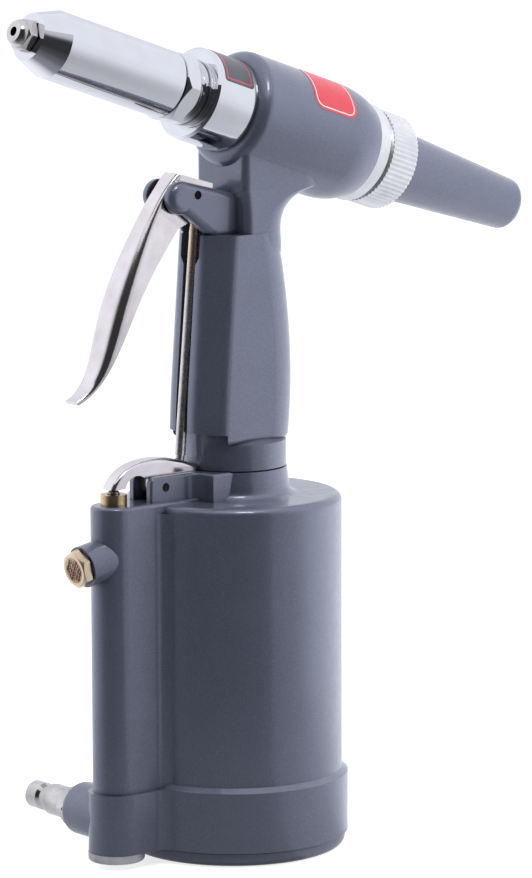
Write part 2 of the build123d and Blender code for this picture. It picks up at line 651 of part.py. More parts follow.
# Frame: head barrel, neck, grip and trigger ears in one casting
with BuildPart() as ears:
    with BuildSketch(Plane.XZ):
        with BuildLine():
            Line((0, EAR_ROOT_TOP), EAR_TIP_TOP)
            ThreePointArc(EAR_TIP_TOP, EAR_TIP, EAR_TIP_LOW)
            Polyline(EAR_TIP_LOW, EAR_ROOT_LOW, (0, EAR_ROOT_LOW[1]), (0, EAR_ROOT_TOP))
        make_face()
    extrude(amount=EAR_OUT, both=True)
    outer_faces = ears.faces().filter_by(Axis.Y)
    fillet(outer_faces.edges().filter_by_position(Axis.X, 1, EAR_TIP[0]), EAR_EDGE)
    with BuildSketch(Plane.XZ):
        with Locations((NECK_FRONT + EAR_TIP[0] / 2, TRIGGER_Z)):
            Rectangle(EAR_TIP[0], 3 * EAR_TIP[0])
    extrude(amount=EAR_IN, both=True, mode=Mode.SUBTRACT)

# Slot for the pull rod in the front of the grip, wider round the rod's eye
with BuildPart() as rod_slot:
    reach = EAR_TIP[0] + CYLINDER_R
    shoulder = EYE_SLOT_BOTTOM + EYE_SLOT_SHOULDER
    with BuildSketch(Plane.XZ):
        with BuildLine():
            Polyline(
                (rod_x(GRIP_SEAT) - ROD_R - ROD_SLOT_ROOM, GRIP_SEAT),
                (rod_x(EYE_SLOT_BOTTOM) - ROD_R - ROD_SLOT_ROOM, EYE_SLOT_BOTTOM),
                (rod_x(GRIP_TOP) - EYE_R - EYE_SLOT_ROOM, shoulder),
                (rod_x(GRIP_TOP) - EYE_R - EYE_SLOT_ROOM, EAR_TIP_TOP[1]),
                (reach, EAR_TIP_TOP[1]),
                (reach, GRIP_SEAT),
                close=True,
            )
        make_face()
    extrude(amount=EYE_SLOT_HALF, both=True)
    with BuildSketch(Plane.YZ):
        with BuildLine():
            edge = Polyline(
                (0, GRIP_SEAT),
                (ROD_SLOT_HALF, GRIP_SEAT),
                (ROD_SLOT_HALF, EYE_SLOT_BOTTOM),
                (EYE_SLOT_HALF, shoulder),
                (EYE_SLOT_HALF, EAR_TIP_TOP[1]),
                (0, EAR_TIP_TOP[1]),
            )
            mirror(edge, about=Plane.YZ)
        make_face()
    extrude(amount=reach, mode=Mode.INTERSECT)

# Space below the finger panels, which end in a round above the collar
with BuildPart() as panel_end:
    lift_z = COLLAR_TOP + PANEL_LIFT
    low = COLLAR_TOP - COLLAR_SLOPE
    inner_r = COLLAR_R - FIT
    turned = Plane.XY.rotated((0, 0, -PANEL_END_ANGLE))
    with BuildSketch(Plane((0, 0, 0), x_dir=(0, 0, 1), z_dir=turned.y_dir)):
        with BuildLine():
            under = Polyline((low, PANEL_END_REACH), (low, inner_r), (lift_z, inner_r), (lift_z, PANEL_END_R))
            lip = TangentArc(under @ 1, (lift_z + PANEL_END_RISE, PANEL_END_REACH), tangent=(0, 1))
            Line(lip @ 1, under @ 0)
        make_face()
    revolve(axis=Axis.Z, revolution_arc=2 * PANEL_END_ANGLE)

with BuildPart() as frame:
    grip_faces = []
    for height, front, rear in GRIP_SECTIONS:
        grip_faces.append(grip_section(height, front, rear))
    loft(grip_faces)
    fillet(frame.edges().group_by(Axis.Z)[0], GRIP_EDGE)
    add(panel_end, mode=Mode.SUBTRACT)
    neck_faces = []
    for height, rear, inset in NECK_SECTIONS:
        with BuildSketch(Plane.XY.offset(height), mode=Mode.PRIVATE) as section:
            with Locations(((NECK_FRONT + rear) / 2, 0)):
                Rectangle(NECK_FRONT - rear, 2 * (GRIP_HALF - inset))
            fillet(section.vertices().group_by(Axis.X)[0], NECK_REAR_CORNER)
            fillet(section.vertices().group_by(Axis.X)[-1], NECK_CORNER)
        neck_faces.append(section.sketch.face())
    loft(neck_faces)
    extrude(neck_faces[-1], amount=NECK_TOP - NECK_SECTIONS[-1][0], dir=(0, 0, 1))
    collar = [
        (GRIP_SEAT, 0),
        (GRIP_SEAT, COLLAR_R - COLLAR_CHAMFER),
        (GRIP_SEAT + COLLAR_CHAMFER, COLLAR_R),
        (COLLAR_TOP, COLLAR_R),
        (COLLAR_TOP + COLLAR_SLOPE, GRIP_HALF - FIT),
        (COLLAR_TOP + COLLAR_SLOPE, 0),
    ]
    turn(collar, upright_side, Axis.Z)
    with BuildSketch(barrel_side):
        with BuildLine():
            top_front = (BARREL_FRONT - BARREL_FRONT_EDGE, BARREL_R)
            top = Line(top_front, (BARREL_REAR + BARREL_REAR_ROUND, BARREL_R))
            rear_round = TangentArc(top @ 1, (BARREL_REAR, BARREL_REAR_R), tangent=top % 1)
            front_end = (BARREL_FRONT, BARREL_R - BARREL_FRONT_EDGE)
            front_round = TangentArc(top @ 0, front_end, tangent=-(top % 0))
            Polyline(rear_round @ 1, (BARREL_REAR, 0), (BARREL_FRONT, 0), front_round @ 1)
        make_face()
    revolve(axis=barrel_axis)
    add(ears)
    add(rod_slot, mode=Mode.SUBTRACT)
    with BuildSketch(Plane.XY.offset(GRIP_TOP)):
        with Locations((rod_x(GRIP_TOP) - EYE_R - EYE_SLOT_ROOM, 0)):
            Circle(EYE_SLOT_HALF)
    extrude(amount=NECK_NOTCH_TOP - GRIP_TOP, mode=Mode.SUBTRACT)
    with Locations(Plane((TRIGGER_X, 0, TRIGGER_Z), x_dir=(1, 0, 0), z_dir=(0, 1, 0))):
        Cylinder(TRIGGER_PIN_R + PIN_FIT, 4 * EAR_OUT, mode=Mode.SUBTRACT)
    # Bores: oil tube, oil way, pull cylinder and rear cap
    ring(GRIP_SEAT, OIL_TUBE_TOP, 0, OIL_TUBE_R + FIT, upright_side, Axis.Z, Mode.SUBTRACT)
    ring(GRIP_SEAT, BARREL_HEIGHT, 0, OIL_WAY_R, upright_side, Axis.Z, Mode.SUBTRACT)
    ring(SLEEVE_REAR, SLEEVE_FRONT, 0, SLEEVE_R + FIT, barrel_side, barrel_axis, Mode.SUBTRACT)
    ring(BARREL_REAR, SLEEVE_REAR, 0, CAP_SPIGOT_R + FIT, barrel_side, barrel_axis, Mode.SUBTRACT)
frame.part.label = "frame"

# Pull cylinder, whose front shows as the bright ring
with BuildPart() as barrel_sleeve:
    rod_bore = PULL_ROD_R + RUN
    seat_bore = HOUSING_THREAD_R + FIT
    sleeve = [
        (SLEEVE_REAR, SLEEVE_BORE_R),
        (SLEEVE_REAR, SLEEVE_R),
        (SLEEVE_FRONT - SLEEVE_CHAMFER, SLEEVE_R),
        (SLEEVE_FRONT, SLEEVE_R - SLEEVE_CHAMFER),
        (SLEEVE_FRONT, seat_bore),
        (SLEEVE_SEAT, seat_bore),
        (SLEEVE_SEAT, rod_bore),
        (SLEEVE_WALL, rod_bore),
        (SLEEVE_WALL, SLEEVE_BORE_R),
    ]
    turn(sleeve, barrel_side, barrel_axis)
    seal_start = (SLEEVE_WALL + SLEEVE_SEAT - ROD_SEAL_T) / 2
    ring(seal_start, seal_start + ROD_SEAL_T, 0, ROD_SEAL_R, barrel_side, barrel_axis, Mode.SUBTRACT)
    ring(OIL_TUBE_TOP, BARREL_HEIGHT, 0, OIL_WAY_R, upright_side, Axis.Z, Mode.SUBTRACT)
barrel_sleeve.part.label = "barrel_sleeve"

with BuildPart() as rod_seal:
    seal_end = seal_start + ROD_SEAL_T
    ring(seal_start + FIT, seal_end - FIT, rod_bore, ROD_SEAL_R - FIT, barrel_side, barrel_axis)
rod_seal.part.label = "rod_seal"

# Nose housing, its lock nut and the nose piece
with BuildPart() as nose_housing:
    housing = [
        (SLEEVE_SEAT + FIT, HOUSING_BORE_R),
        (SLEEVE_SEAT + FIT, HOUSING_THREAD_R),
        (HOUSING_SHOULDER, HOUSING_THREAD_R),
        (HOUSING_SHOULDER, HOUSING_R - HOUSING_EDGE),
        (HOUSING_SHOULDER + HOUSING_EDGE, HOUSING_R),
        (HOUSING_CONE, HOUSING_R),
        (HOUSING_FRONT, HOUSING_FRONT_R),
        (HOUSING_FRONT, NOSE_THREAD_R + FIT),
        (HOUSING_BORE_END, NOSE_THREAD_R + FIT),
        (HOUSING_BORE_END, HOUSING_BORE_R),
    ]
    turn(housing, barrel_side, barrel_axis)
nose_housing.part.label = "nose_housing"

with BuildPart() as head_lock_nut:
    nut_rear = across_barrel(HOUSING_SHOULDER - LOCK_NUT_T)
    hex_prism(nut_rear, LOCK_NUT_HEX, LOCK_NUT_T, HOUSING_THREAD_R + FIT, LOCK_NUT_EDGE)
head_lock_nut.part.label = "head_lock_nut"

with BuildPart() as nose_piece:
    hex_prism(across_barrel(HOUSING_FRONT), NOSE_HEX, NOSE_HEX_T, 0, NOSE_HEX_EDGE)
    with BuildSketch(barrel_side):
        with BuildLine():
            hex_end = HOUSING_FRONT + NOSE_HEX_T
            crown = NOSE_HEX / 2 - NOSE_HEX_EDGE
            Line((hex_end, 0), (hex_end, crown))
            dome = TangentArc((hex_end, crown), (NOSE_TIP, NOSE_TIP_R), tangent=(1, 0))
            Polyline(dome @ 1, (NOSE_TIP, 0), (hex_end, 0))
        make_face()
    revolve(axis=barrel_axis)
    tail = [
        (HOUSING_FRONT, 0),
        (HOUSING_FRONT, NOSE_THREAD_R),
        (HOUSING_BORE_END, NOSE_THREAD_R),
        (NOSE_TAIL, NOSE_TAIL_R),
        (NOSE_TAIL, 0),
    ]
    turn(tail, barrel_side, barrel_axis)
    ring(NOSE_TAIL, NOSE_TIP, 0, NOSE_HOLE_R, barrel_side, barrel_axis, Mode.SUBTRACT)
nose_piece.part.label = "nose_piece"

# Pull piston with its front rod and the tube that leads mandrels to the rear
with BuildPart() as pull_piston:
    head_r = SLEEVE_BORE_R - RUN
    piston_rear = PISTON_FRONT - PISTON_T
    outline = [
        (PULL_TUBE_REAR, MANDREL_WAY_R),
        (PULL_TUBE_REAR, PULL_TUBE_R),
        (piston_rear, PULL_TUBE_R),
        (piston_rear, head_r),
        (PISTON_FRONT, head_r),
        (PISTON_FRONT, PULL_ROD_R),
        (PULL_ROD_FRONT, PULL_ROD_R),
        (PULL_ROD_FRONT, MANDREL_WAY_R),
    ]
    turn(outline, barrel_side, barrel_axis)
    groove = PISTON_FRONT - (PISTON_T + PULL_SEAL_T) / 2
    groove_r = head_r - PULL_SEAL_DEPTH
    ring(groove, groove + PULL_SEAL_T, groove_r, head_r, barrel_side, barrel_axis, Mode.SUBTRACT)
pull_piston.part.label = "pull_piston"

with BuildPart() as pull_piston_seal:
    ring(groove + FIT, groove + PULL_SEAL_T - FIT, groove_r + FIT, head_r, barrel_side, barrel_axis)
pull_piston_seal.part.label = "pull_piston_seal"

with BuildPart() as pull_return_spring:
    pocket_floor = BARREL_REAR - CAP_RIM_T + CAP_FLOOR
    spring_r = (PULL_TUBE_R + CAP_POCKET_R) / 2
    spring_sleeve(pocket_floor, piston_rear, spring_r, RETURN_WIRE, barrel_side, barrel_axis)
pull_return_spring.part.label = "pull_return_spring"

# Gripping set in the nose
with BuildPart() as jaw_case_nut:
    hex_prism(across_barrel(JAW_NUT_REAR), JAW_NUT_HEX, JAW_NUT_T, PULL_ROD_R + FIT)
jaw_case_nut.part.label = "jaw_case_nut"

with BuildPart() as jaw_case:
    case_rear = JAW_NUT_REAR + JAW_NUT_T
    case = [
        (case_rear, PULL_ROD_R + FIT),
        (case_rear, JAW_CASE_R),
        (JAW_CASE_FRONT, JAW_CASE_R),
        (JAW_CASE_FRONT, JAW_MOUTH_R),
        (JAW_CONE_START, JAW_CHAMBER_R),
        (PULL_ROD_FRONT, JAW_CHAMBER_R),
        (PULL_ROD_FRONT, PULL_ROD_R + FIT),
    ]
    turn(case, barrel_side, barrel_axis)
jaw_case.part.label = "jaw_case"


def jaw_r(t):
    """Outer radius of the jaws, which follow the cone of the jaw case."""
    slope = (JAW_CHAMBER_R - JAW_MOUTH_R) / (JAW_CASE_FRONT - JAW_CONE_START)
    return JAW_CHAMBER_R - slope * (t - JAW_CONE_START) - JAW_ROOM


with BuildPart() as jaws:
    jaw = [
        (JAW_REAR, JAW_GRIP_R),
        (JAW_REAR, jaw_r(JAW_REAR)),
        (JAW_FRONT, jaw_r(JAW_FRONT)),
        (JAW_FRONT, JAW_GRIP_R),
    ]
    turn(jaw, barrel_side, barrel_axis)
    with BuildSketch(across_barrel(JAW_REAR)):
        with PolarLocations(0, JAW_COUNT):
            Rectangle(JAW_CHAMBER_R, JAW_SLIT, align=(Align.MIN, Align.CENTER))
    extrude(amount=JAW_FRONT - JAW_REAR, mode=Mode.SUBTRACT)
jaws.part.label = "jaws"

with BuildPart() as jaw_pusher:
    pusher_front = JAW_REAR - TOUCH
    pusher = [
        (JAW_PUSHER_REAR, JAW_GRIP_R + JAW_SLIT),
        (JAW_PUSHER_REAR, JAW_PUSHER_R),
        (JAW_CONE_START, JAW_PUSHER_R),
        (pusher_front, JAW_MOUTH_R),
        (pusher_front, JAW_GRIP_R + JAW_SLIT),
    ]
    turn(pusher, barrel_side, barrel_axis)
jaw_pusher.part.label = "jaw_pusher"

with BuildPart() as jaw_pusher_spring:
    spring_r = (MANDREL_WAY_R + JAW_CHAMBER_R) / 2
    spring_sleeve(PULL_ROD_FRONT, JAW_PUSHER_REAR, spring_r, PUSHER_WIRE, barrel_side, barrel_axis)
jaw_pusher_spring.part.label = "jaw_pusher_spring"

# Rear cap, knurled ring and mandrel collector
with BuildPart() as frame_cap:
    rim_rear = BARREL_REAR - CAP_RIM_T
    tail_rear = rim_rear - CAP_TAIL_T
    tube_bore = PULL_TUBE_R + RUN
    cap = [
        (SLEEVE_REAR - FIT, CAP_POCKET_R),
        (SLEEVE_REAR - FIT, CAP_SPIGOT_R),
        (BARREL_REAR, CAP_SPIGOT_R),
        (BARREL_REAR, CAP_RIM_R),
        (rim_rear + CAP_RIM_CHAMFER, CAP_RIM_R),
        (rim_rear, CAP_RIM_R - CAP_RIM_CHAMFER),
        (rim_rear, CAP_TAIL_R),
        (tail_rear, CAP_TAIL_R),
        (tail_rear, tube_bore),
        (pocket_floor, tube_bore),
        (pocket_floor, CAP_POCKET_R),
    ]
    turn(cap, barrel_side, barrel_axis)
frame_cap.part.label = "frame_cap"

with BuildPart() as collector_ring:
    ring_front = rim_rear - TOUCH
    ring_rear = ring_front - RING_T
    web_front = tail_rear - TOUCH
    socket_r = COLLECTOR_NECK_R + RUN
    step = 360 / (2 * RING_TEETH)
    with BuildSketch(across_barrel(ring_rear + RING_BEVEL)):
        with BuildLine():
            Polyline(
                *[
                    Vector(RING_R - RING_TOOTH * (k % 2), 0).rotate(Axis.Z, k * step)
                    for k in range(2 * RING_TEETH)
                ],
                close=True,
            )
        make_face()
    extrude(amount=RING_T - 2 * RING_BEVEL)
    root_r = RING_R - RING_TOOTH
    rim = [
        (ring_rear, 0),
        (ring_rear, root_r - RING_BEVEL),
        (ring_rear + RING_BEVEL, root_r),
        (ring_front - RING_BEVEL, root_r),
        (ring_front, root_r - RING_BEVEL),
        (ring_front, 0),
    ]
    turn(rim, barrel_side, barrel_axis)
    ring(web_front, ring_front, 0, CAP_TAIL_R + RUN, barrel_side, barrel_axis, Mode.SUBTRACT)
    ring(ring_rear, web_front - RING_WEB_T, 0, socket_r, barrel_side, barrel_axis, Mode.SUBTRACT)
    ring(ring_rear, ring_front, 0, RING_WEB_R, barrel_side, barrel_axis, Mode.SUBTRACT)
collector_ring.part.label = "collector_ring"

with BuildPart() as collector:
    front = ring_rear - TOUCH
    end = front - COLLECTOR_L
    tube = [
        (front + COLLECTOR_NECK_L, 0),
        (front + COLLECTOR_NECK_L, COLLECTOR_NECK_R),
        (front, COLLECTOR_NECK_R),
        (front, COLLECTOR_R),
        (end, COLLECTOR_END_R),
        (end, 0),
    ]
    turn(tube, barrel_side, barrel_axis)
    rim_edges = collector.edges().filter_by(GeomType.CIRCLE).sort_by(barrel_axis)
    fillet(rim_edges[0], COLLECTOR_END_EDGE)
    inside = [
        (front + COLLECTOR_NECK_L, 0),
        (front + COLLECTOR_NECK_L, COLLECTOR_NECK_R - COLLECTOR_WALL),
        (front, COLLECTOR_NECK_R - COLLECTOR_WALL),
        (end + COLLECTOR_WALL, COLLECTOR_END_R - COLLECTOR_WALL),
        (end + COLLECTOR_WALL, 0),
    ]
    turn(inside, barrel_side, barrel_axis, Mode.SUBTRACT)
collector.part.label = "collector"

# Oil tube in the grip, with the nut that clamps the cylinder to the grip
with BuildPart() as oil_tube:
    ring(OIL_TUBE_BOTTOM, OIL_TUBE_TOP, OIL_TUBE_BORE_R, OIL_TUBE_R, upright_side, Axis.Z)
oil_tube.part.label = "oil_tube"

with BuildPart() as handle_nut:
    nut_bottom = CYLINDER_TOP - TOP_WALL - HANDLE_NUT_T
    hex_prism(Plane.XY.offset(nut_bottom), HANDLE_NUT_HEX, HANDLE_NUT_T, OIL_TUBE_R + FIT)
handle_nut.part.label = "handle_nut"

with BuildPart() as bumper:
    ring(nut_bottom - BUMPER_T, nut_bottom, OIL_TUBE_R + FIT, BUMPER_R, upright_side, Axis.Z)
bumper.part.label = "bumper"

with BuildPart() as ram_gland:
    gland_top = OIL_TUBE_BOTTOM + GLAND_T
    ring(OIL_TUBE_BOTTOM, gland_top, RAM_R + RUN, OIL_TUBE_BORE_R - FIT, upright_side, Axis.Z)
ram_gland.part.label = "ram_gland"

with BuildPart() as ram_seal:
    ring(gland_top, gland_top + RAM_SEAL_T, RAM_R + RUN, OIL_TUBE_BORE_R - FIT, upright_side, Axis.Z)
ram_seal.part.label = "ram_seal"

# Air piston with its ram
with BuildPart() as air_piston:
    piston_r = CYLINDER_BORE_R - RUN
    piston_top = AIR_PISTON_BOTTOM + AIR_PISTON_T
    ring(AIR_PISTON_BOTTOM, piston_top, RAM_STUD_R + FIT, piston_r, upright_side, Axis.Z)
    air_groove = AIR_PISTON_BOTTOM + (AIR_PISTON_T - AIR_SEAL_T) / 2
    air_groove_r = piston_r - AIR_SEAL_DEPTH
    ring(air_groove, air_groove + AIR_SEAL_T, air_groove_r, CYLINDER_R, upright_side, Axis.Z, Mode.SUBTRACT)
air_piston.part.label = "air_piston"

with BuildPart() as piston_seal:
    ring(air_groove + FIT, air_groove + AIR_SEAL_T - FIT, air_groove_r + FIT, piston_r, upright_side, Axis.Z)
piston_seal.part.label = "piston_seal"

with BuildPart() as ram:
    shaft = [
        (RAM_STUD_BOTTOM, 0),
        (RAM_STUD_BOTTOM, RAM_STUD_R),
        (piston_top, RAM_STUD_R),
        (piston_top, RAM_R),
        (RAM_TOP, RAM_R),
        (RAM_TOP, 0),
    ]
    turn(shaft, upright_side, Axis.Z)
ram.part.label = "ram"

with BuildPart() as ram_nut:
    hex_prism(Plane.XY.offset(AIR_PISTON_BOTTOM - RAM_NUT_T), RAM_NUT_HEX, RAM_NUT_T, RAM_STUD_R + FIT)
ram_nut.part.label = "ram_nut"

# Trigger, a bent channel open towards the grip
with BuildPart() as trigger:
    loft([trigger_section(station, 0, 0) for station in SHIN])
    extrude(trigger_roof((0, 0)), amount=TRIGGER_TOP_HALF, both=True)
    extrude(trigger_roof(ROOF_DROP), amount=TRIGGER_TOP_HALF - SHEET, both=True, mode=Mode.SUBTRACT)
    loft([trigger_section(station, SHEET, SHEET) for station in SHIN[HOLLOW_STATIONS]], mode=Mode.SUBTRACT)
    with Locations(Plane((TRIGGER_X, 0, TRIGGER_Z), x_dir=(1, 0, 0), z_dir=(0, 1, 0))):
        Cylinder(TRIGGER_PIN_R + PIN_FIT, 4 * TRIGGER_TOP_HALF, mode=Mode.SUBTRACT)
    with Locations(Plane((EYE_X, 0, EYE_Z), x_dir=(1, 0, 0), z_dir=(0, 1, 0))):
        Cylinder(EYE_PIN_R + PIN_FIT, 4 * TRIGGER_TOP_HALF, mode=Mode.SUBTRACT)
trigger.part.label = "trigger"

with BuildPart() as trigger_pin:
    with Locations(Plane((TRIGGER_X, 0, TRIGGER_Z), x_dir=(1, 0, 0), z_dir=(0, 1, 0))):
        Cylinder(TRIGGER_PIN_R, 2 * (EAR_OUT - RUN))
trigger_pin.part.label = "trigger_pin"

with BuildPart() as eye_pin:
    with Locations(Plane((EYE_X, 0, EYE_Z), x_dir=(1, 0, 0), z_dir=(0, 1, 0))):
        Cylinder(EYE_PIN_R, 2 * TRIGGER_TOP_HALF)
eye_pin.part.label = "eye_pin"

# Pull rod with its eye, and the nut that lifts the rocker
with BuildPart() as pull_rod:
    eye_along = (Vector(EYE_X, 0, EYE_Z) - rod_foot).length
    nut_along = (ROCKER_TAIL_Z - TOUCH - ROD_FOOT_Z) / rod_dir.Z - TOUCH
    rod_end = nut_along - 2 * ROD_NUT_T
    rod = [(rod_end, 0), (rod_end, ROD_END_R), (0, ROD_END_R), (0, ROD_R), (eye_along, ROD_R), (eye_along, 0)]
    turn(rod, rod_side, rod_axis)
    with Locations(Plane((EYE_X, 0, EYE_Z), x_dir=(1, 0, 0), z_dir=(0, 1, 0))):
        Cylinder(EYE_R, 2 * EYE_HALF)
        Cylinder(EYE_PIN_R + EYE_ROOM, 2 * EYE_HALF, mode=Mode.SUBTRACT)
pull_rod.part.label = "pull_rod"

with BuildPart() as rod_nut:
    nut_plane = Plane(rod_foot + rod_dir * (nut_along - ROD_NUT_T), x_dir=(0, 1, 0), z_dir=rod_dir)
    hex_prism(nut_plane, ROD_NUT_HEX, ROD_NUT_T, ROD_END_R + FIT)
rod_nut.part.label = "rod_nut"

# Rocker that turns the lift of the rod into a push on the valve
with BuildPart() as rocker:
    toe_z = STEM_TOP + TOUCH
    with BuildSketch(Plane.XZ):
        with BuildLine():
            tail_top = (ROCKER_TAIL_X, ROCKER_TAIL_Z + ROCKER_TAIL_T)
            toe = (ROCKER_TOE_X, toe_z)
            heel = (ROCKER_TOE_X - ROCKER_TOE_L, toe_z)
            Line((ROCKER_TAIL_X, ROCKER_TAIL_Z), tail_top)
            Spline(tail_top, ROCKER_CROWN, toe, tangents=(ROCKER_TAIL_SLOPE, ROCKER_TOE_SLOPE))
            Line(toe, heel)
            hub_side = (ROCKER_X + ROCKER_HUB_R, ROCKER_TAIL_Z)
            ThreePointArc(heel, ROCKER_ARCH, (ROCKER_ARCH[0] - ROCKER_TOE_L, ROCKER_ARCH[1]))
            Line((ROCKER_ARCH[0] - ROCKER_TOE_L, ROCKER_ARCH[1]), hub_side)
            Line(hub_side, (hub_side[0], ROCKER_Z))
            ThreePointArc(
                (hub_side[0], ROCKER_Z),
                (ROCKER_X, ROCKER_Z - ROCKER_HUB_R),
                (ROCKER_X - ROCKER_HUB_R, ROCKER_Z),
            )
            Polyline(
                (ROCKER_X - ROCKER_HUB_R, ROCKER_Z),
                (ROCKER_X - ROCKER_HUB_R, ROCKER_TAIL_Z),
                (ROCKER_TAIL_X, ROCKER_TAIL_Z),
            )
        make_face()
    extrude(amount=ROCKER_HALF, both=True)
    fillet(rocker.edges().filter_by(GeomType.BSPLINE), ROCKER_EDGE)
    with Locations(Plane((ROCKER_X, 0, ROCKER_Z), x_dir=(1, 0, 0), z_dir=(0, 1, 0))):
        Cylinder(ROCKER_PIN_R + PIN_FIT, 4 * ROCKER_HALF, mode=Mode.SUBTRACT)
    # Slot round the rod's end, longer to the rear for the swing of the rocker
    with BuildSketch(Plane(rod_foot + rod_dir * rod_end, x_dir=(0, 1, 0), z_dir=rod_dir)):
        SlotOverall(2 * (ROD_END_R + ROD_SLOT_PLAY) + ROD_SWING, 2 * (ROD_END_R + ROD_SLOT_PLAY), rotation=90)
    extrude(amount=-2 * rod_end, mode=Mode.SUBTRACT)
rocker.part.label = "rocker"

with BuildPart() as rocker_pin:
    with Locations(Plane((ROCKER_X, 0, ROCKER_Z), x_dir=(1, 0, 0), z_dir=(0, 1, 0))):
        Cylinder(ROCKER_PIN_R, 2 * (BRACKET_OUT - FIT))
rocker_pin.part.label = "rocker_pin"

# Valve in the column
with BuildPart() as valve_bush:
    bush = [
        (BUSH_BOTTOM, STEM_R + RUN),
        (BUSH_BOTTOM, VALVE_CHAMBER_R - FIT),
        (COLUMN_TOP, VALVE_CHAMBER_R - FIT),
        (COLUMN_TOP, BUSH_HEAD_R),
        (COLUMN_TOP + BUSH_HEAD_H, BUSH_HEAD_R),
        (COLUMN_TOP + BUSH_HEAD_H, STEM_R + RUN),
    ]
    turn(bush, column_side, column_axis)
    seal_root = VALVE_CHAMBER_R - FIT - BUSH_SEAL_DEPTH
    seal_top = BUSH_SEAL_Z + BUSH_SEAL_T
    ring(BUSH_SEAL_Z, seal_top, seal_root, VALVE_CHAMBER_R, column_side, column_axis, Mode.SUBTRACT)
valve_bush.part.label = "valve_bush"

with BuildPart() as valve_seal:
    ring(BUSH_SEAL_Z + FIT, seal_top - FIT, seal_root + FIT, VALVE_CHAMBER_R - FIT, column_side, column_axis)
valve_seal.part.label = "valve_seal"

with BuildPart() as valve_stem:
    spool_top = BUSH_BOTTOM - TOUCH
    spool_bottom = spool_top - STEM_SPOOL_H
    stem = [
        (spool_bottom, 0),
        (spool_bottom, STEM_SPOOL_R),
        (spool_top, STEM_SPOOL_R),
        (spool_top, STEM_R),
        (STEM_TOP - STEM_DOME, STEM_R),
        (STEM_TOP, STEM_R - STEM_DOME),
        (STEM_TOP, 0),
    ]
    turn(stem, column_side, column_axis)
valve_stem.part.label = "valve_stem"

with BuildPart() as valve_spring:
    spring_r = VALVE_CHAMBER_R - VALVE_WIRE
    spring_sleeve(VALVE_SPRING_SEAT, spool_bottom, spring_r, VALVE_WIRE, column_side, column_axis)
valve_spring.part.label = "valve_spring"

with BuildPart() as column_cap:
    cap_bottom = CYLINDER_BOTTOM - COLUMN_CAP_H
    plug = [
        (cap_bottom, 0),
        (cap_bottom, COLUMN_CAP_R),
        (CYLINDER_BOTTOM, COLUMN_CAP_R),
        (CYLINDER_BOTTOM, COLUMN_CAP_SPIGOT_R),
        (CYLINDER_BOTTOM + COLUMN_CAP_SPIGOT_H, COLUMN_CAP_SPIGOT_R),
        (CYLINDER_BOTTOM + COLUMN_CAP_SPIGOT_H, 0),
    ]
    turn(plug, column_side, column_axis)
    fillet(column_cap.edges().group_by(Axis.Z)[0], COLUMN_CAP_EDGE)
column_cap.part.label = "column_cap"

# Muffler of the exhaust
with BuildPart() as muffler_body:
    boss_middle = muffler_root + muffler_dir * MUFFLER_BOSS_OUT
    boss_face = Plane(boss_middle, x_dir=muffler_side.y_dir, z_dir=muffler_dir)
    hex_prism(boss_face, MUFFLER_HEX, MUFFLER_HEX_L, 0, MUFFLER_EDGE)
    ring(thread_end, MUFFLER_BOSS_OUT, 0, MUFFLER_THREAD_R, muffler_side, muffler_axis)
    ring(thread_end, MUFFLER_OUT, 0, AIR_WAY_R, muffler_side, muffler_axis, Mode.SUBTRACT)
    screen_rear = MUFFLER_OUT - MUFFLER_SCREEN_T
    ring(screen_rear, MUFFLER_OUT, 0, MUFFLER_SCREEN_R + FIT, muffler_side, muffler_axis, Mode.SUBTRACT)
muffler_body.part.label = "muffler_body"

with BuildPart() as muffler_screen:
    ring(screen_rear, MUFFLER_OUT, 0, MUFFLER_SCREEN_R, muffler_side, muffler_axis)
muffler_screen.part.label = "muffler_screen"

# Inlet plug
with BuildPart() as air_plug:
    seat = INLET_BOSS_Y + PLUG_WASHER_T
    hex_end = seat + PLUG_HEX_L
    body_end = hex_end + PLUG_BODY_L
    tip_start = body_end + PLUG_GROOVE_L
    tip_end = tip_start + PLUG_TIP_L
    seat_plane = Plane((COLUMN_X, -seat, INLET_Z), x_dir=(1, 0, 0), z_dir=(0, -1, 0))
    hex_prism(seat_plane, PLUG_HEX, PLUG_HEX_L, 0, PLUG_HEX_EDGE)
    nipple = [
        (plug_seat + FIT, 0),
        (plug_seat + FIT, PLUG_THREAD_R),
        (seat, PLUG_THREAD_R),
        (seat, PLUG_BODY_R),
        (body_end - PLUG_SLOPE, PLUG_BODY_R),
        (body_end, PLUG_GROOVE_R),
        (tip_start, PLUG_GROOVE_R),
        (tip_start + PLUG_SLOPE, PLUG_TIP_R),
        (tip_end - PLUG_SLOPE, PLUG_TIP_R),
        (tip_end, PLUG_TIP_R - PLUG_SLOPE),
        (tip_end, 0),
    ]
    turn(nipple, inlet_side, inlet_axis)
    ring(plug_seat, tip_end, 0, PLUG_BORE_R, inlet_side, inlet_axis, Mode.SUBTRACT)
air_plug.part.label = "air_plug"

with BuildPart() as plug_washer:
    ring(INLET_BOSS_Y, seat, PLUG_THREAD_R + FIT, PLUG_WASHER_R, inlet_side, inlet_axis)
plug_washer.part.label = "plug_washer"

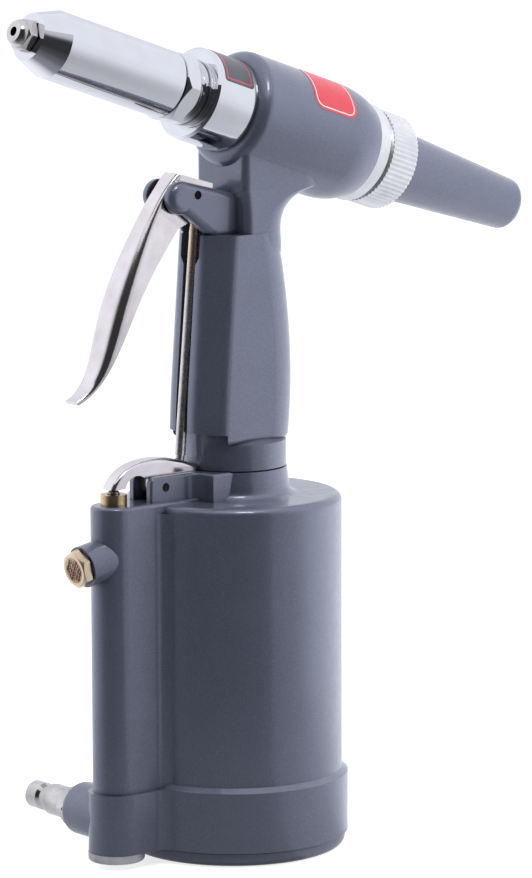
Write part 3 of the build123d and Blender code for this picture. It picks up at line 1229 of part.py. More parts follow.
# One file for each piece
os.makedirs("parts", exist_ok=True)
export_step(frame.part, "parts/frame.step")
export_step(barrel_sleeve.part, "parts/barrel_sleeve.step")
export_step(rod_seal.part, "parts/rod_seal.step")
export_step(nose_housing.part, "parts/nose_housing.step")
export_step(head_lock_nut.part, "parts/head_lock_nut.step")
export_step(nose_piece.part, "parts/nose_piece.step")
export_step(pull_piston.part, "parts/pull_piston.step")
export_step(pull_piston_seal.part, "parts/pull_piston_seal.step")
export_step(pull_return_spring.part, "parts/pull_return_spring.step")
export_step(jaw_case_nut.part, "parts/jaw_case_nut.step")
export_step(jaw_case.part, "parts/jaw_case.step")
export_step(jaws.part, "parts/jaws.step")
export_step(jaw_pusher.part, "parts/jaw_pusher.step")
export_step(jaw_pusher_spring.part, "parts/jaw_pusher_spring.step")
export_step(frame_cap.part, "parts/frame_cap.step")
export_step(collector_ring.part, "parts/collector_ring.step")
export_step(collector.part, "parts/collector.step")
export_step(cylinder.part, "parts/cylinder.step")
export_step(base_cap.part, "parts/base_cap.step")
export_step(oil_tube.part, "parts/oil_tube.step")
export_step(handle_nut.part, "parts/handle_nut.step")
export_step(bumper.part, "parts/bumper.step")
export_step(ram_gland.part, "parts/ram_gland.step")
export_step(ram_seal.part, "parts/ram_seal.step")
export_step(air_piston.part, "parts/air_piston.step")
export_step(piston_seal.part, "parts/piston_seal.step")
export_step(ram.part, "parts/ram.step")
export_step(ram_nut.part, "parts/ram_nut.step")
export_step(trigger.part, "parts/trigger.step")
export_step(trigger_pin.part, "parts/trigger_pin.step")
export_step(eye_pin.part, "parts/eye_pin.step")
export_step(pull_rod.part, "parts/pull_rod.step")
export_step(rod_nut.part, "parts/rod_nut.step")
export_step(rocker.part, "parts/rocker.step")
export_step(rocker_pin.part, "parts/rocker_pin.step")
export_step(valve_bush.part, "parts/valve_bush.step")
export_step(valve_seal.part, "parts/valve_seal.step")
export_step(valve_stem.part, "parts/valve_stem.step")
export_step(valve_spring.part, "parts/valve_spring.step")
export_step(column_cap.part, "parts/column_cap.step")
export_step(muffler_body.part, "parts/muffler_body.step")
export_step(muffler_screen.part, "parts/muffler_screen.step")
export_step(air_plug.part, "parts/air_plug.step")
export_step(plug_washer.part, "parts/plug_washer.step")
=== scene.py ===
import json
from math import cos, pi, radians, sin, sqrt

import bmesh
import bpy
from mathutils import Matrix, Quaternion, Vector

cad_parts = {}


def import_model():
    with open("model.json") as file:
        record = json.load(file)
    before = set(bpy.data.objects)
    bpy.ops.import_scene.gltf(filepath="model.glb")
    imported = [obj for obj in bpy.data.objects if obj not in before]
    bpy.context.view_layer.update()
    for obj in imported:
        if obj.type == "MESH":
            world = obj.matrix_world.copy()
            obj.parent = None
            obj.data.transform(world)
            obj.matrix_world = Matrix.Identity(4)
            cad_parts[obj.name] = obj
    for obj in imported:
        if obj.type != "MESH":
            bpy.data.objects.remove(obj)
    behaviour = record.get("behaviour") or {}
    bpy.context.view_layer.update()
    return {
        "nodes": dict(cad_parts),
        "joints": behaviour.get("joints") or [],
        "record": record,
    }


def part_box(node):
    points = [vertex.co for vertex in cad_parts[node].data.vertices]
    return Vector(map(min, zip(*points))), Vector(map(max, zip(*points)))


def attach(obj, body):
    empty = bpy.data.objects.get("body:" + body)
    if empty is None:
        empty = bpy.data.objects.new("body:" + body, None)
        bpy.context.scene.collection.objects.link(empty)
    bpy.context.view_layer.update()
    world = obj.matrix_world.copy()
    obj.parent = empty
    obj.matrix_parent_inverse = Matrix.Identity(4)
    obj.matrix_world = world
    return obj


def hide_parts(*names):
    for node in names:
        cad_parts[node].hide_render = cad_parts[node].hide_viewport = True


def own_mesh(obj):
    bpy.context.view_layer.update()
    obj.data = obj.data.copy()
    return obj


# Looks of the pneumatic riveter. Every length is in metres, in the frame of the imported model.
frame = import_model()
nodes = frame["nodes"]
record = frame["record"]
MM = 0.001
UP = Vector((0, 0, 1))

# Camera at the photograph's viewpoint
CAMERA_PLACE = Vector((0.90827, 1.11651, 0.35950))
CAMERA_AIM = Vector((-0.00807, 0.00732, 0.13663))
CAMERA_ROLL = radians(0.19)
CAMERA_LENS = 180.3
CAMERA_SENSOR = 36.0

# Softboxes: angle to the right of the camera, height, width, tallness, power in watts,
# distance from the tool's axis and height of the point that they face
PANELS = {
    "right_panel": (102, 0.35, 0.70, 1.00, 10.0, 0.95, 0.15),
    "left_panel": (-108, 0.50, 0.60, 0.80, 5.5, 0.95, 0.23),
    "top_panel": (0, 1.10, 0.90, 0.70, 3.5, 0.25, 0.15),
    "rim_panel": (18, 1.00, 0.24, 0.24, 1.6, 0.50, 0.15),
}
# The only softbox that shows in polished surfaces
MIRRORED_PANEL = "rim_panel"

# White studio: light from the sides and from the camera's side, and the cosines of the angle to
# the camera between which one passes into the other
SIDE_LIGHT = 0.75
FRONT_LIGHT = 0.06
SECTOR_START = 0.2
SECTOR_END = 0.7
STUDIO_TINT = (0.89, 0.915, 1.0)
FLOOR_SIZE = 8.0
FLOOR_COLOR = (0.62, 0.62, 0.62)
FLOOR_GLOW = 0.75
MATT = 0.9

# Cards that only glossy rays see: angle to the right of the camera, tone of the floor close to
# the tool, of the floor further out and of the wall
CARD_TONES = (
    (-180, 0.70, 0.90, 0.85),
    (-140, 1.00, 1.20, 1.00),
    (-110, 1.00, 1.10, 1.10),
    (-78, 0.70, 0.60, 0.80),
    (-52, 0.36, 0.10, 0.12),
    (-42, 0.34, 0.04, 0.04),
    (37, 0.34, 0.04, 0.04),
    (41, 0.60, 0.44, 0.60),
    (62, 0.60, 0.50, 0.80),
    (72, 0.60, 0.66, 0.90),
    (78, 0.60, 1.00, 0.95),
    (84, 0.60, 1.15, 1.00),
    (92, 0.65, 1.45, 1.00),
    (108, 1.00, 1.55, 1.00),
    (126, 1.10, 1.60, 1.00),
    (150, 0.95, 1.25, 1.00),
    (180, 0.80, 0.90, 0.85),
)
CARD_STEP = 2.5
CARD_LIFT = 0.5 * MM
# Radius, height, share of the wall's tone and of the near tone
CARD_RINGS = (
    (0.030, CARD_LIFT, 0.0, 1.0),
    (0.16, CARD_LIFT, 0.0, 0.85),
    (0.24, CARD_LIFT, 0.0, 0.40),
    (0.42, CARD_LIFT, 0.0, 0.12),
    (0.90, CARD_LIFT, 0.3, 0.0),
    (0.90, 0.25, 1.0, 0.0),
    (0.90, 1.00, 1.0, 0.0),
)

# Thread between the lock nut and the pull cylinder: its crest's half width, the share of its
# length over which the crest rises, and the share of the gap left free at each end
THREAD_PITCH = 1.25 * MM
THREAD_ROOT = 10.5 * MM
THREAD_CREST = 0.42 * MM
THREAD_FLAT = 0.1 * MM
THREAD_SINK = 0.2 * MM
THREAD_RISE = 0.125
THREAD_MARGIN = 0.1
THREAD_STEPS = 72

# Hidden coil springs: pitch of the open turns in wire thicknesses
SPRING_PITCH = 1.9
SPRING_STEPS = 32
SPRING_SIDES = 8
SPRING_FIT = 0.97
PUSHER_BODY = "pull_piston"

# Grains of the sintered exhaust disc, some a little higher than others
GRAIN_R = 0.62 * MM
GRAIN_GAP = 1.12 * MM
GRAIN_SINK = -0.15 * MM
GRAIN_CUTS = 2
WOBBLE = 0.16 * MM
WOBBLE_ROW = 7.3
WOBBLE_COLUMN = 4.1

# Plain stickers: each one's length along the barrel, angle round it, middle and corner radius
STICKER_LIFT = 0.06 * MM
STICKER_ARC = 8
STICKER_CUTS = 24
STICKER_RINGS = 8
STICKER_MERGE = 0.001 * MM
LINE_INSET = 0.9 * MM
LINE_WIDTH = 0.4 * MM
LINE_RING = 1
BARREL_STICKER_LENGTH = 19.0 * MM
BARREL_STICKER_ARC = radians(62)
BARREL_STICKER_MIDDLE = -29.0 * MM
BARREL_STICKER_TURN = radians(52)
BARREL_STICKER_CORNER = 4.0 * MM
BARREL_STEP = 2.7 * MM
SLEEVE_STICKER_LENGTH = 12.5 * MM
SLEEVE_STICKER_ARC = radians(80)
SLEEVE_STICKER_MIDDLE = 10.4 * MM
SLEEVE_STICKER_TURN = radians(62)
SLEEVE_STICKER_CORNER = 1.2 * MM

# Colours, linear
PAINT = (0.146, 0.161, 0.222)
PAINT_DARK = (0.130, 0.144, 0.200)
PAINT_FLECK = (0.252, 0.278, 0.36)
# Colour of the painted shade in the paint's corners and gaps
PAINTED_SHADE_ON_PAINT = (0.035, 0.037, 0.048)
CHROME = (0.83, 0.835, 0.86)
CHROME_WARM = (0.80, 0.80, 0.815)
ALUMINIUM = (0.84, 0.84, 0.85)
ALUMINIUM_DARK = (0.76, 0.76, 0.77)
RAW_METAL = (0.78, 0.78, 0.80)
RAW_DARK = (0.42, 0.42, 0.43)
STEEL = (0.55, 0.54, 0.53)
STEEL_DARK = (0.36, 0.35, 0.35)
ROD = (0.86, 0.83, 0.80)
ROD_DARK = (0.62, 0.59, 0.57)
ROD_TINT = (0.92, 0.72, 0.50)
BRASS = (0.80, 0.60, 0.34)
LIGHT_BRASS = (0.95, 0.79, 0.58)
BRASS_DARK = (0.52, 0.36, 0.18)
BRONZE = (0.86, 0.62, 0.46)
BRONZE_DARK = (0.46, 0.29, 0.19)
PLATED = (0.87, 0.81, 0.81)
PLATED_DARK = (0.76, 0.69, 0.68)
NICKEL = (0.74, 0.71, 0.69)
NICKEL_DARK = (0.50, 0.47, 0.45)
BLACK = (0.016, 0.016, 0.018)
BLACK_WORN = (0.05, 0.05, 0.055)
RUBBER = (0.018, 0.018, 0.019)
RUBBER_DUST = (0.045, 0.045, 0.045)
RED = (0.60, 0.025, 0.045)
RED_LIGHT = (0.70, 0.05, 0.07)
LINE = (0.70, 0.66, 0.66)
LINE_LIGHT = (0.78, 0.75, 0.75)
DARK_FILM = (0.055, 0.058, 0.068)
DARK_FILM_LIGHT = (0.10, 0.105, 0.12)

# Painted shade in corners and narrow gaps, from ambient occlusion: its strength where it is thickest,
# the openness between which it fades, and its tone as a share of the metal's dark tone
PAINTED_SHADE_COVER = 0.8
PAINTED_SHADE_FULL = 0.25
PAINTED_SHADE_NONE = 0.9
PAINTED_SHADE_SAMPLES = 32
PAINTED_SHADE_SHARE = 0.12

# Paint: sizes of its clouds, flecks, gloss patches and orange peel
PAINT_METAL = 0.5
PAINT_CLOUD = 22 * MM
PAINT_PATCH = 3 * MM
PAINT_GLOSS = (0.30, 0.42)
# Reach of the painted shade in the paint's corners and gaps
PAINT_SHADE_REACH = 2.5 * MM
PAINT_SPECULAR = 0.3
FLECK = 0.3 * MM
FLECK_SHARE = 0.4
FLECK_START = 0.48
FLECK_FULL = 0.66
PEEL = 1.3 * MM
PEEL_DEPTH = 0.016 * MM
FLECK_DEPTH = 0.004 * MM
COAT_ROUGHNESS = 0.08

# Metal: size of its clouds and the noise between which they set in, spread of its roughness and
# size of the patches in which that changes, in grains
METAL_CLOUD = 7 * MM
CLOUD_START = 0.35
CLOUD_FULL = 0.75
POLISH_LOW = 0.75
POLISH_HIGH = 1.4
POLISH_PATCH = 4
# Reach of the painted shade in the metals' corners and gaps; the knurled ring's reaches further
METAL_SHADE_REACH = 1.2 * MM
RING_SHADE_REACH = 2.5 * MM

# Rod: heights between which its tint sets in, and its surface
ROD_TINT_START = 0.184
ROD_TINT_END = 0.202
ROD_TINT_SHARE = 0.8
ROD_CLOUD = 5 * MM
ROD_GLOSS = (0.22, 0.36)
ROD_PATCH = 1.2 * MM
ROD_GRAIN = 0.3 * MM
ROD_DEPTH = 0.006 * MM

# Rubber: dust, roughness and grain
DUST = 2 * MM
DUST_START = 0.45
DUST_FULL = 0.8
RUBBER_GLOSS = (0.6, 0.8)
RUBBER_PATCH = 1 * MM
RUBBER_GRAIN = 0.4 * MM
RUBBER_DEPTH = 0.02 * MM

# Printed film
FILM_CLOUD = 5 * MM
FILM_CLOUD_SHARE = 0.35
FILM_PATCH = 1.5 * MM
FILM_LOW = 0.85
FILM_HIGH = 1.2
FILM_GRAIN = 0.7 * MM
FILM_DEPTH = 0.006 * MM
FILM_COAT = 0.4
FILM_COAT_ROUGHNESS = 0.15
PRINT_ROUGHNESS = 0.35
DARK_FILM_ROUGHNESS = 0.4

# Metals: bright and dark tone, roughness, size and depth of the grain, metallic share and reach of the
# painted shade in corners and gaps
METALS = {
    "chrome": (CHROME, CHROME_WARM, 0.055, 1.2 * MM, 0.0025 * MM, 1.0, METAL_SHADE_REACH),
    "ring_metal": (ALUMINIUM, ALUMINIUM_DARK, 0.34, 0.8 * MM, 0.001 * MM, 0.75, RING_SHADE_REACH),
    "nose_steel": (NICKEL, NICKEL_DARK, 0.12, 0.5 * MM, 0.004 * MM, 1.0, METAL_SHADE_REACH),
    "raw_cap": (RAW_METAL, RAW_DARK, 0.42, 0.6 * MM, 0.05 * MM, 0.6, METAL_SHADE_REACH),
    "bright_steel": (STEEL, STEEL_DARK, 0.22, 0.3 * MM, 0.006 * MM, 1.0, METAL_SHADE_REACH),
    "dark_pin": (BLACK, BLACK_WORN, 0.5, 0.4 * MM, 0.01 * MM, 1.0, METAL_SHADE_REACH),
    "spring_steel": (STEEL_DARK, STEEL, 0.3, 0.3 * MM, 0.006 * MM, 1.0, METAL_SHADE_REACH),
    "brass": (BRASS, BRASS_DARK, 0.24, 0.5 * MM, 0.01 * MM, 1.0, METAL_SHADE_REACH),
    "sintered": (BRONZE, BRONZE_DARK, 0.45, 0.35 * MM, 0.03 * MM, 1.0, METAL_SHADE_REACH),
    "nickel": (NICKEL, NICKEL_DARK, 0.16, 0.4 * MM, 0.006 * MM, 1.0, METAL_SHADE_REACH),
    "light_brass": (LIGHT_BRASS, BRASS, 0.2, 0.5 * MM, 0.01 * MM, 1.0, METAL_SHADE_REACH),
    "plated": (PLATED, PLATED_DARK, 0.13, 8 * MM, 0.06 * MM, 1.0, METAL_SHADE_REACH),
}
# Nodes whose metal differs from the one of their slot
OWN_METAL = {
    "pull_rod": "rod_steel",
    "muffler_body": "light_brass",
    "trigger": "plated",
    "rocker": "plated",
}


# The barrel's own coordinates, from the ring's joint
def joint(name):
    return next(j for j in frame["joints"] if j["name"] == name)


barrel_dir = Vector(joint("ring_turn")["axis"]).normalized()
joint_point = Vector(joint("ring_turn")["pos_m"])
barrel_origin = joint_point - barrel_dir * (joint_point.x / barrel_dir.x)
barrel_left = Vector((0, 1, 0))
barrel_up = barrel_dir.cross(barrel_left)


def on_barrel(t, radius, angle):
    """A point at t along the barrel, at an angle from the left side towards the top."""
    return barrel_origin + barrel_dir * t + (barrel_left * cos(angle) + barrel_up * sin(angle)) * radius


def span(node, origin, direction):
    """Lowest and highest place of a node along an axis, and its least and largest radius."""
    places, radii = [], []
    for vertex in nodes[node].data.vertices:
        offset = vertex.co - origin
        t = offset.dot(direction)
        places.append(t)
        radii.append((offset - direction * t).length)
    return min(places), max(places), min(radii), max(radii)


def barrel_span(node):
    return span(node, barrel_origin, barrel_dir)


# Materials
class Shader:
    """A node material with its principled shader and object coordinates."""

    def __init__(self, name, color, roughness, metallic=0.0):
        self.material = bpy.data.materials.new(name)
        self.material.use_nodes = True
        self.tree = self.material.node_tree
        self.bsdf = self.tree.nodes["Principled BSDF"]
        self.value("Base Color", (*color, 1))
        self.value("Roughness", roughness)
        self.value("Metallic", metallic)
        self.place = self.tree.nodes.new("ShaderNodeTexCoord").outputs["Object"]

    def value(self, socket, value):
        self.bsdf.inputs[socket].default_value = value

    def node(self, kind, **values):
        made = self.tree.nodes.new(kind)
        for key, value in values.items():
            setattr(made, key, value)
        return made

    def link(self, source, target):
        self.tree.links.new(source, target)

    def noise(self, size, detail=2.0):
        """Noise whose grains are about a size across."""
        made = self.node("ShaderNodeTexNoise")
        made.inputs["Scale"].default_value = 1 / size
        made.inputs["Detail"].default_value = detail
        self.link(self.place, made.inputs["Vector"])
        return made.outputs["Fac"]

    def spread(self, factor, low, high, start=0.3, end=0.7):
        """Maps a factor to a range of numbers."""
        made = self.node("ShaderNodeMapRange")
        made.inputs["From Min"].default_value = start
        made.inputs["From Max"].default_value = end
        made.inputs["To Min"].default_value = low
        made.inputs["To Max"].default_value = high
        self.link(factor, made.inputs["Value"])
        return made.outputs["Result"]

    def mix(self, factor, first, second):
        """Mixes two colours, each a tuple or a socket."""
        made = self.node("ShaderNodeMix", data_type="RGBA")
        self.link(factor, made.inputs["Factor"])
        for socket, value in ((made.inputs[6], first), (made.inputs[7], second)):
            if isinstance(value, tuple):
                socket.default_value = (*value, 1)
            else:
                self.link(value, socket)
        return made.outputs[2]

    def paint_in_shade(self, color, dark, reach):
        """Paints shade into a colour: darkens it in corners and narrow gaps, from ambient occlusion."""
        shade = self.node("ShaderNodeAmbientOcclusion", samples=PAINTED_SHADE_SAMPLES)
        shade.inputs["Distance"].default_value = reach
        cover = self.spread(shade.outputs["AO"], PAINTED_SHADE_COVER, 0.0, PAINTED_SHADE_FULL, PAINTED_SHADE_NONE)
        return self.mix(cover, color, dark)

    def color(self, socket):
        self.link(socket, self.bsdf.inputs["Base Color"])

    def roughness(self, socket):
        self.link(socket, self.bsdf.inputs["Roughness"])

    def bump(self, *layers):
        """Stacks bumps, each a height socket with its depth in metres."""
        normal = None
        for height, depth in layers:
            made = self.node("ShaderNodeBump")
            made.inputs["Strength"].default_value = 1.0
            made.inputs["Distance"].default_value = depth
            self.link(height, made.inputs["Height"])
            if normal:
                self.link(normal, made.inputs["Normal"])
            normal = made.outputs["Normal"]
        self.link(normal, self.bsdf.inputs["Normal"])


def paint(name):
    """Metallic paint under a clear coat: orange peel, fine flecks, slow cloudy change and painted shade
    in corners.
    """
    shader = Shader(name, PAINT, sum(PAINT_GLOSS) / 2, PAINT_METAL)
    cloud = shader.mix(shader.spread(shader.noise(PAINT_CLOUD), 0, 1), PAINT_DARK, PAINT)
    fleck = shader.spread(shader.noise(FLECK, 3), 0, FLECK_SHARE, FLECK_START, FLECK_FULL)
    # Painted shade darkens the paint in corners and gaps
    shader.color(shader.paint_in_shade(shader.mix(fleck, cloud, PAINT_FLECK), PAINTED_SHADE_ON_PAINT, PAINT_SHADE_REACH))
    shader.roughness(shader.spread(shader.noise(PAINT_PATCH), *PAINT_GLOSS))
    shader.bump((shader.noise(PEEL), PEEL_DEPTH), (shader.noise(FLECK), FLECK_DEPTH))
    shader.value("Coat Weight", 1.0)
    shader.value("Coat Roughness", COAT_ROUGHNESS)
    shader.value("Specular IOR Level", PAINT_SPECULAR)
    return shader.material


def metal(name, bright, dark, roughness, grain, depth, body, reach):
    """Metal with a cloudy tone, uneven polish, a fine surface and painted shade in corners."""
    shader = Shader(name, bright, roughness, body)
    clouds = shader.spread(shader.noise(METAL_CLOUD, 4), 0, 1, CLOUD_START, CLOUD_FULL)
    # Painted shade darkens the metal in corners and gaps, towards a share of its dark tone
    painted_shade_tone = tuple(PAINTED_SHADE_SHARE * part for part in dark)
    shader.color(shader.paint_in_shade(shader.mix(clouds, bright, dark), painted_shade_tone, reach))
    patches = shader.noise(grain * POLISH_PATCH, 3)
    shader.roughness(shader.spread(patches, roughness * POLISH_LOW, roughness * POLISH_HIGH))
    shader.bump((shader.noise(grain, 3), depth))
    return shader.material


def rod_steel(name):
    """Bright steel whose upper end has a brassy tint."""
    shader = Shader(name, ROD, sum(ROD_GLOSS) / 2, 1.0)
    height = shader.node("ShaderNodeSeparateXYZ")
    shader.link(shader.place, height.inputs["Vector"])
    clouds = shader.spread(shader.noise(ROD_CLOUD, 4), 0, 1, CLOUD_START, CLOUD_FULL)
    top = shader.spread(height.outputs["Z"], 0.0, ROD_TINT_SHARE, ROD_TINT_START, ROD_TINT_END)
    shader.color(shader.mix(top, shader.mix(clouds, ROD, ROD_DARK), ROD_TINT))
    shader.roughness(shader.spread(shader.noise(ROD_PATCH, 3), *ROD_GLOSS))
    shader.bump((shader.noise(ROD_GRAIN, 3), ROD_DEPTH))
    return shader.material


def rubber(name):
    """Black rubber with a trace of dust."""
    shader = Shader(name, RUBBER, sum(RUBBER_GLOSS) / 2)
    dust = shader.spread(shader.noise(DUST, 4), 0, 1, DUST_START, DUST_FULL)
    shader.color(shader.mix(dust, RUBBER, RUBBER_DUST))
    shader.roughness(shader.spread(shader.noise(RUBBER_PATCH), *RUBBER_GLOSS))
    shader.bump((shader.noise(RUBBER_GRAIN), RUBBER_DEPTH))
    return shader.material


def film(name, base, light, roughness):
    """Printed film with a faint grain."""
    shader = Shader(name, base, roughness)
    clouds = shader.spread(shader.noise(FILM_CLOUD, 3), 0, FILM_CLOUD_SHARE)
    shader.color(shader.mix(clouds, base, light))
    patches = shader.noise(FILM_PATCH)
    shader.roughness(shader.spread(patches, roughness * FILM_LOW, roughness * FILM_HIGH))
    shader.bump((shader.noise(FILM_GRAIN), FILM_DEPTH))
    shader.value("Coat Weight", FILM_COAT)
    shader.value("Coat Roughness", FILM_COAT_ROUGHNESS)
    return shader.material


materials = {name: metal(name, *values) for name, values in METALS.items()}
materials["grey_paint"] = paint("grey_paint")
materials["grey_tube"] = paint("grey_tube")
materials["seal_rubber"] = rubber("seal_rubber")
materials["rod_steel"] = rod_steel("rod_steel")


def dress(dressed, material):
    dressed.data.materials.clear()
    dressed.data.materials.append(material)


for subpart in record["subparts"]:
    name = subpart["node"]
    dress(nodes[name], materials[OWN_METAL.get(name, subpart["material_slot"])])


# New pieces
def piece(name, mesh, material, body):
    """A new piece of the object, which rides on a body."""
    made = bpy.data.objects.new(name, mesh)
    bpy.context.scene.collection.objects.link(made)
    mesh.materials.append(material)
    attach(made, body)
    return made


def smooth(mesh):
    for polygon in mesh.polygons:
        polygon.use_smooth = True
    return mesh


def to_mesh(name, built):
    mesh = bpy.data.meshes.new(name)
    built.to_mesh(mesh)
    built.free()
    return mesh


def tube_mesh(name, rows):
    """A closed skin over rows of points."""
    built = bmesh.new()
    skin = [[built.verts.new(point) for point in row] for row in rows]
    for first, second in zip(skin, skin[1:]):
        for k in range(len(first)):
            after = (k + 1) % len(first)
            built.faces.new((first[k], first[after], second[after], second[k]))
    built.faces.new(skin[0])
    built.faces.new(skin[-1][::-1])
    bmesh.ops.recalc_face_normals(built, faces=built.faces)
    return to_mesh(name, built)


# Thread of the nose housing, in the gap behind the lock nut
def thread_mesh(name, start, end):
    """A ridge that winds round the barrel, with a flat crest and sunk ends."""
    turns = (end - start) / THREAD_PITCH
    count = int(turns * THREAD_STEPS)
    rows = []
    for k in range(count + 1):
        share = k / count
        angle = 2 * pi * turns * share
        t = start + (end - start) * share
        rise = THREAD_CREST * min(1, share / THREAD_RISE, (1 - share) / THREAD_RISE)
        corners = (
            (-THREAD_PITCH / 2, -THREAD_SINK),
            (-THREAD_FLAT, rise),
            (THREAD_FLAT, rise),
            (THREAD_PITCH / 2, -THREAD_SINK),
        )
        rows.append([on_barrel(t + step, THREAD_ROOT + lift, angle) for step, lift in corners])
    return tube_mesh(name, rows)


nut_rear = barrel_span("head_lock_nut")[0]
sleeve_front = barrel_span("barrel_sleeve")[1]
margin = THREAD_MARGIN * (nut_rear - sleeve_front)
thread = thread_mesh("housing_thread", sleeve_front + margin, nut_rear - margin)
piece("housing_thread", thread, materials["chrome"], "frame")


# Coil springs in place of the sleeves that their turns fill
def coil(name, node, body, origin, direction, across):
    """A round wire with one closed turn at each end; gives the piece, its fixed end and its length."""
    low, high, inner, outer = span(node, origin, direction)
    wire = (outer - inner) / 2
    middle = (outer + inner) / 2
    travel = high - low - 2 * wire
    turns = round(travel / (SPRING_PITCH * 2 * wire)) + 2
    open_pitch = (travel - 4 * wire) / (turns - 2)
    beside = direction.cross(across)
    rows = []
    for k in range(turns * SPRING_STEPS + 1):
        turn = k / SPRING_STEPS
        rise = 2 * wire * turn
        if turn > 1:
            rise = 2 * wire + open_pitch * (turn - 1)
        if turn > turns - 1:
            rise = travel - 2 * wire * (turns - turn)
        outward = across * cos(2 * pi * turn) + beside * sin(2 * pi * turn)
        centre = origin + direction * (low + wire + rise) + outward * middle
        angles = [2 * pi * j / SPRING_SIDES for j in range(SPRING_SIDES)]
        rows.append([
            centre + (outward * cos(angle) + direction * sin(angle)) * wire * SPRING_FIT
            for angle in angles
        ])
    made = piece(name, smooth(tube_mesh(name, rows)), materials["spring_steel"], body)
    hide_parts(node)
    return made, origin + direction * low, high - low


valve_low, valve_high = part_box("valve_spring")
valve_axis = Vector(((valve_low.x + valve_high.x) / 2, (valve_low.y + valve_high.y) / 2, 0))

spring, seat, length = coil(
    "return_coil", "pull_return_spring", "frame", barrel_origin, barrel_dir, barrel_left
)
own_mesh(spring)
spring, seat, length = coil("valve_coil", "valve_spring", "frame", valve_axis, UP, barrel_left)
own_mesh(spring)
coil("pusher_coil", "jaw_pusher_spring", PUSHER_BODY, barrel_origin, barrel_dir, barrel_left)


# Grains of the sintered disc
def grain_mesh(name, node):
    """Balls in close rows on the front of the exhaust disc."""
    disc = nodes[node].data
    out = max(disc.polygons, key=lambda polygon: polygon.normal.x).normal
    low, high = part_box(node)
    middle = (low + high) / 2
    rise = max((vertex.co - middle).dot(out) for vertex in disc.vertices)
    across = Vector((0, 1, 0))
    upward = out.cross(across)
    reach = (high.y - low.y) / 2 - GRAIN_R
    built = bmesh.new()
    rows = int(reach / GRAIN_GAP) + 2
    for row in range(-rows, rows + 1):
        for column in range(-rows, rows + 1):
            y = (column + 0.5 * (row % 2)) * GRAIN_GAP
            z = row * GRAIN_GAP * sqrt(3) / 2
            if sqrt(y * y + z * z) > reach:
                continue
            wobble = WOBBLE * sin(WOBBLE_ROW * row + WOBBLE_COLUMN * column)
            place = Matrix.Translation(
                middle + out * (rise + GRAIN_SINK + wobble) + across * y + upward * z
            )
            bmesh.ops.create_icosphere(built, subdivisions=GRAIN_CUTS, radius=GRAIN_R, matrix=place)
    return smooth(to_mesh(name, built))


grains = grain_mesh("muffler_grains", "muffler_screen")
piece("muffler_grains", grains, materials["sintered"], "frame")


# Plain stickers, bent round the barrel
def outline(half_u, half_v, corner):
    """Points round a rectangle with round corners, the same number for every size."""
    points = []
    for quarter, (side_u, side_v) in enumerate(((1, 1), (-1, 1), (-1, -1), (1, -1))):
        for k in range(STICKER_ARC + 1):
            angle = pi / 2 * (quarter + k / STICKER_ARC)
            u = side_u * (half_u - corner) + corner * cos(angle)
            v = side_v * (half_v - corner) + corner * sin(angle)
            points.append((u, v))
        turn = pi / 2 * (quarter + 1)
        along = half_u - corner if quarter % 2 == 0 else half_v - corner
        for k in range(1, STICKER_CUTS):
            step = 2 * along * k / STICKER_CUTS
            points.append((u - step * sin(turn), v + step * cos(turn)))
    return points


def sticker_mesh(name, middle, turn, length, arc, radius, corner):
    """A film with round corners and a printed line near its rim, laid on the barrel's cylinder."""
    half_u, half_v = length / 2, arc * radius / 2
    line_end = LINE_INSET + LINE_WIDTH
    room = min(half_u, half_v) - line_end
    insets = [0.0, LINE_INSET, line_end]
    insets += [line_end + room * k / STICKER_RINGS for k in range(1, STICKER_RINGS + 1)]
    built = bmesh.new()
    rings = []
    for inset in insets:
        points = outline(half_u - inset, half_v - inset, max(corner - inset, 0.0))
        rings.append([
            built.verts.new(on_barrel(middle + u, radius, turn + v / radius))
            for u, v in points
        ])
    for number, (outer, inner) in enumerate(zip(rings, rings[1:])):
        for k in range(len(outer)):
            after = (k + 1) % len(outer)
            face = built.faces.new((outer[k], outer[after], inner[after], inner[k]))
            face.material_index = 1 if number == LINE_RING else 0
    bmesh.ops.remove_doubles(built, verts=built.verts, dist=STICKER_MERGE)
    bmesh.ops.recalc_face_normals(built, faces=built.faces)
    return smooth(to_mesh(name, built))


barrel_sticker = sticker_mesh(
    "barrel_sticker",
    BARREL_STICKER_MIDDLE,
    BARREL_STICKER_TURN,
    BARREL_STICKER_LENGTH,
    BARREL_STICKER_ARC,
    barrel_span("frame_cap")[3] + BARREL_STEP + STICKER_LIFT,
    BARREL_STICKER_CORNER,
)
red_film = film("red_film", RED, RED_LIGHT, PRINT_ROUGHNESS)
piece("barrel_sticker", barrel_sticker, red_film, "frame")
barrel_sticker.materials.append(film("pale_line", LINE, LINE_LIGHT, PRINT_ROUGHNESS))

sleeve_sticker = sticker_mesh(
    "sleeve_sticker",
    SLEEVE_STICKER_MIDDLE,
    SLEEVE_STICKER_TURN,
    SLEEVE_STICKER_LENGTH,
    SLEEVE_STICKER_ARC,
    barrel_span("barrel_sleeve")[3] + STICKER_LIFT,
    SLEEVE_STICKER_CORNER,
)
dark_film = film("dark_film", DARK_FILM, DARK_FILM_LIGHT, DARK_FILM_ROUGHNESS)
piece("sleeve_sticker", sleeve_sticker, dark_film, "frame")
sleeve_sticker.materials.append(film("red_line", RED, RED_LIGHT, PRINT_ROUGHNESS))


# Studio
front = Vector((CAMERA_PLACE.x, CAMERA_PLACE.y, 0)).normalized()


def off_camera(angle):
    """Level direction at an angle in degrees to the right of the camera."""
    return Matrix.Rotation(radians(angle), 3, "Z") @ front


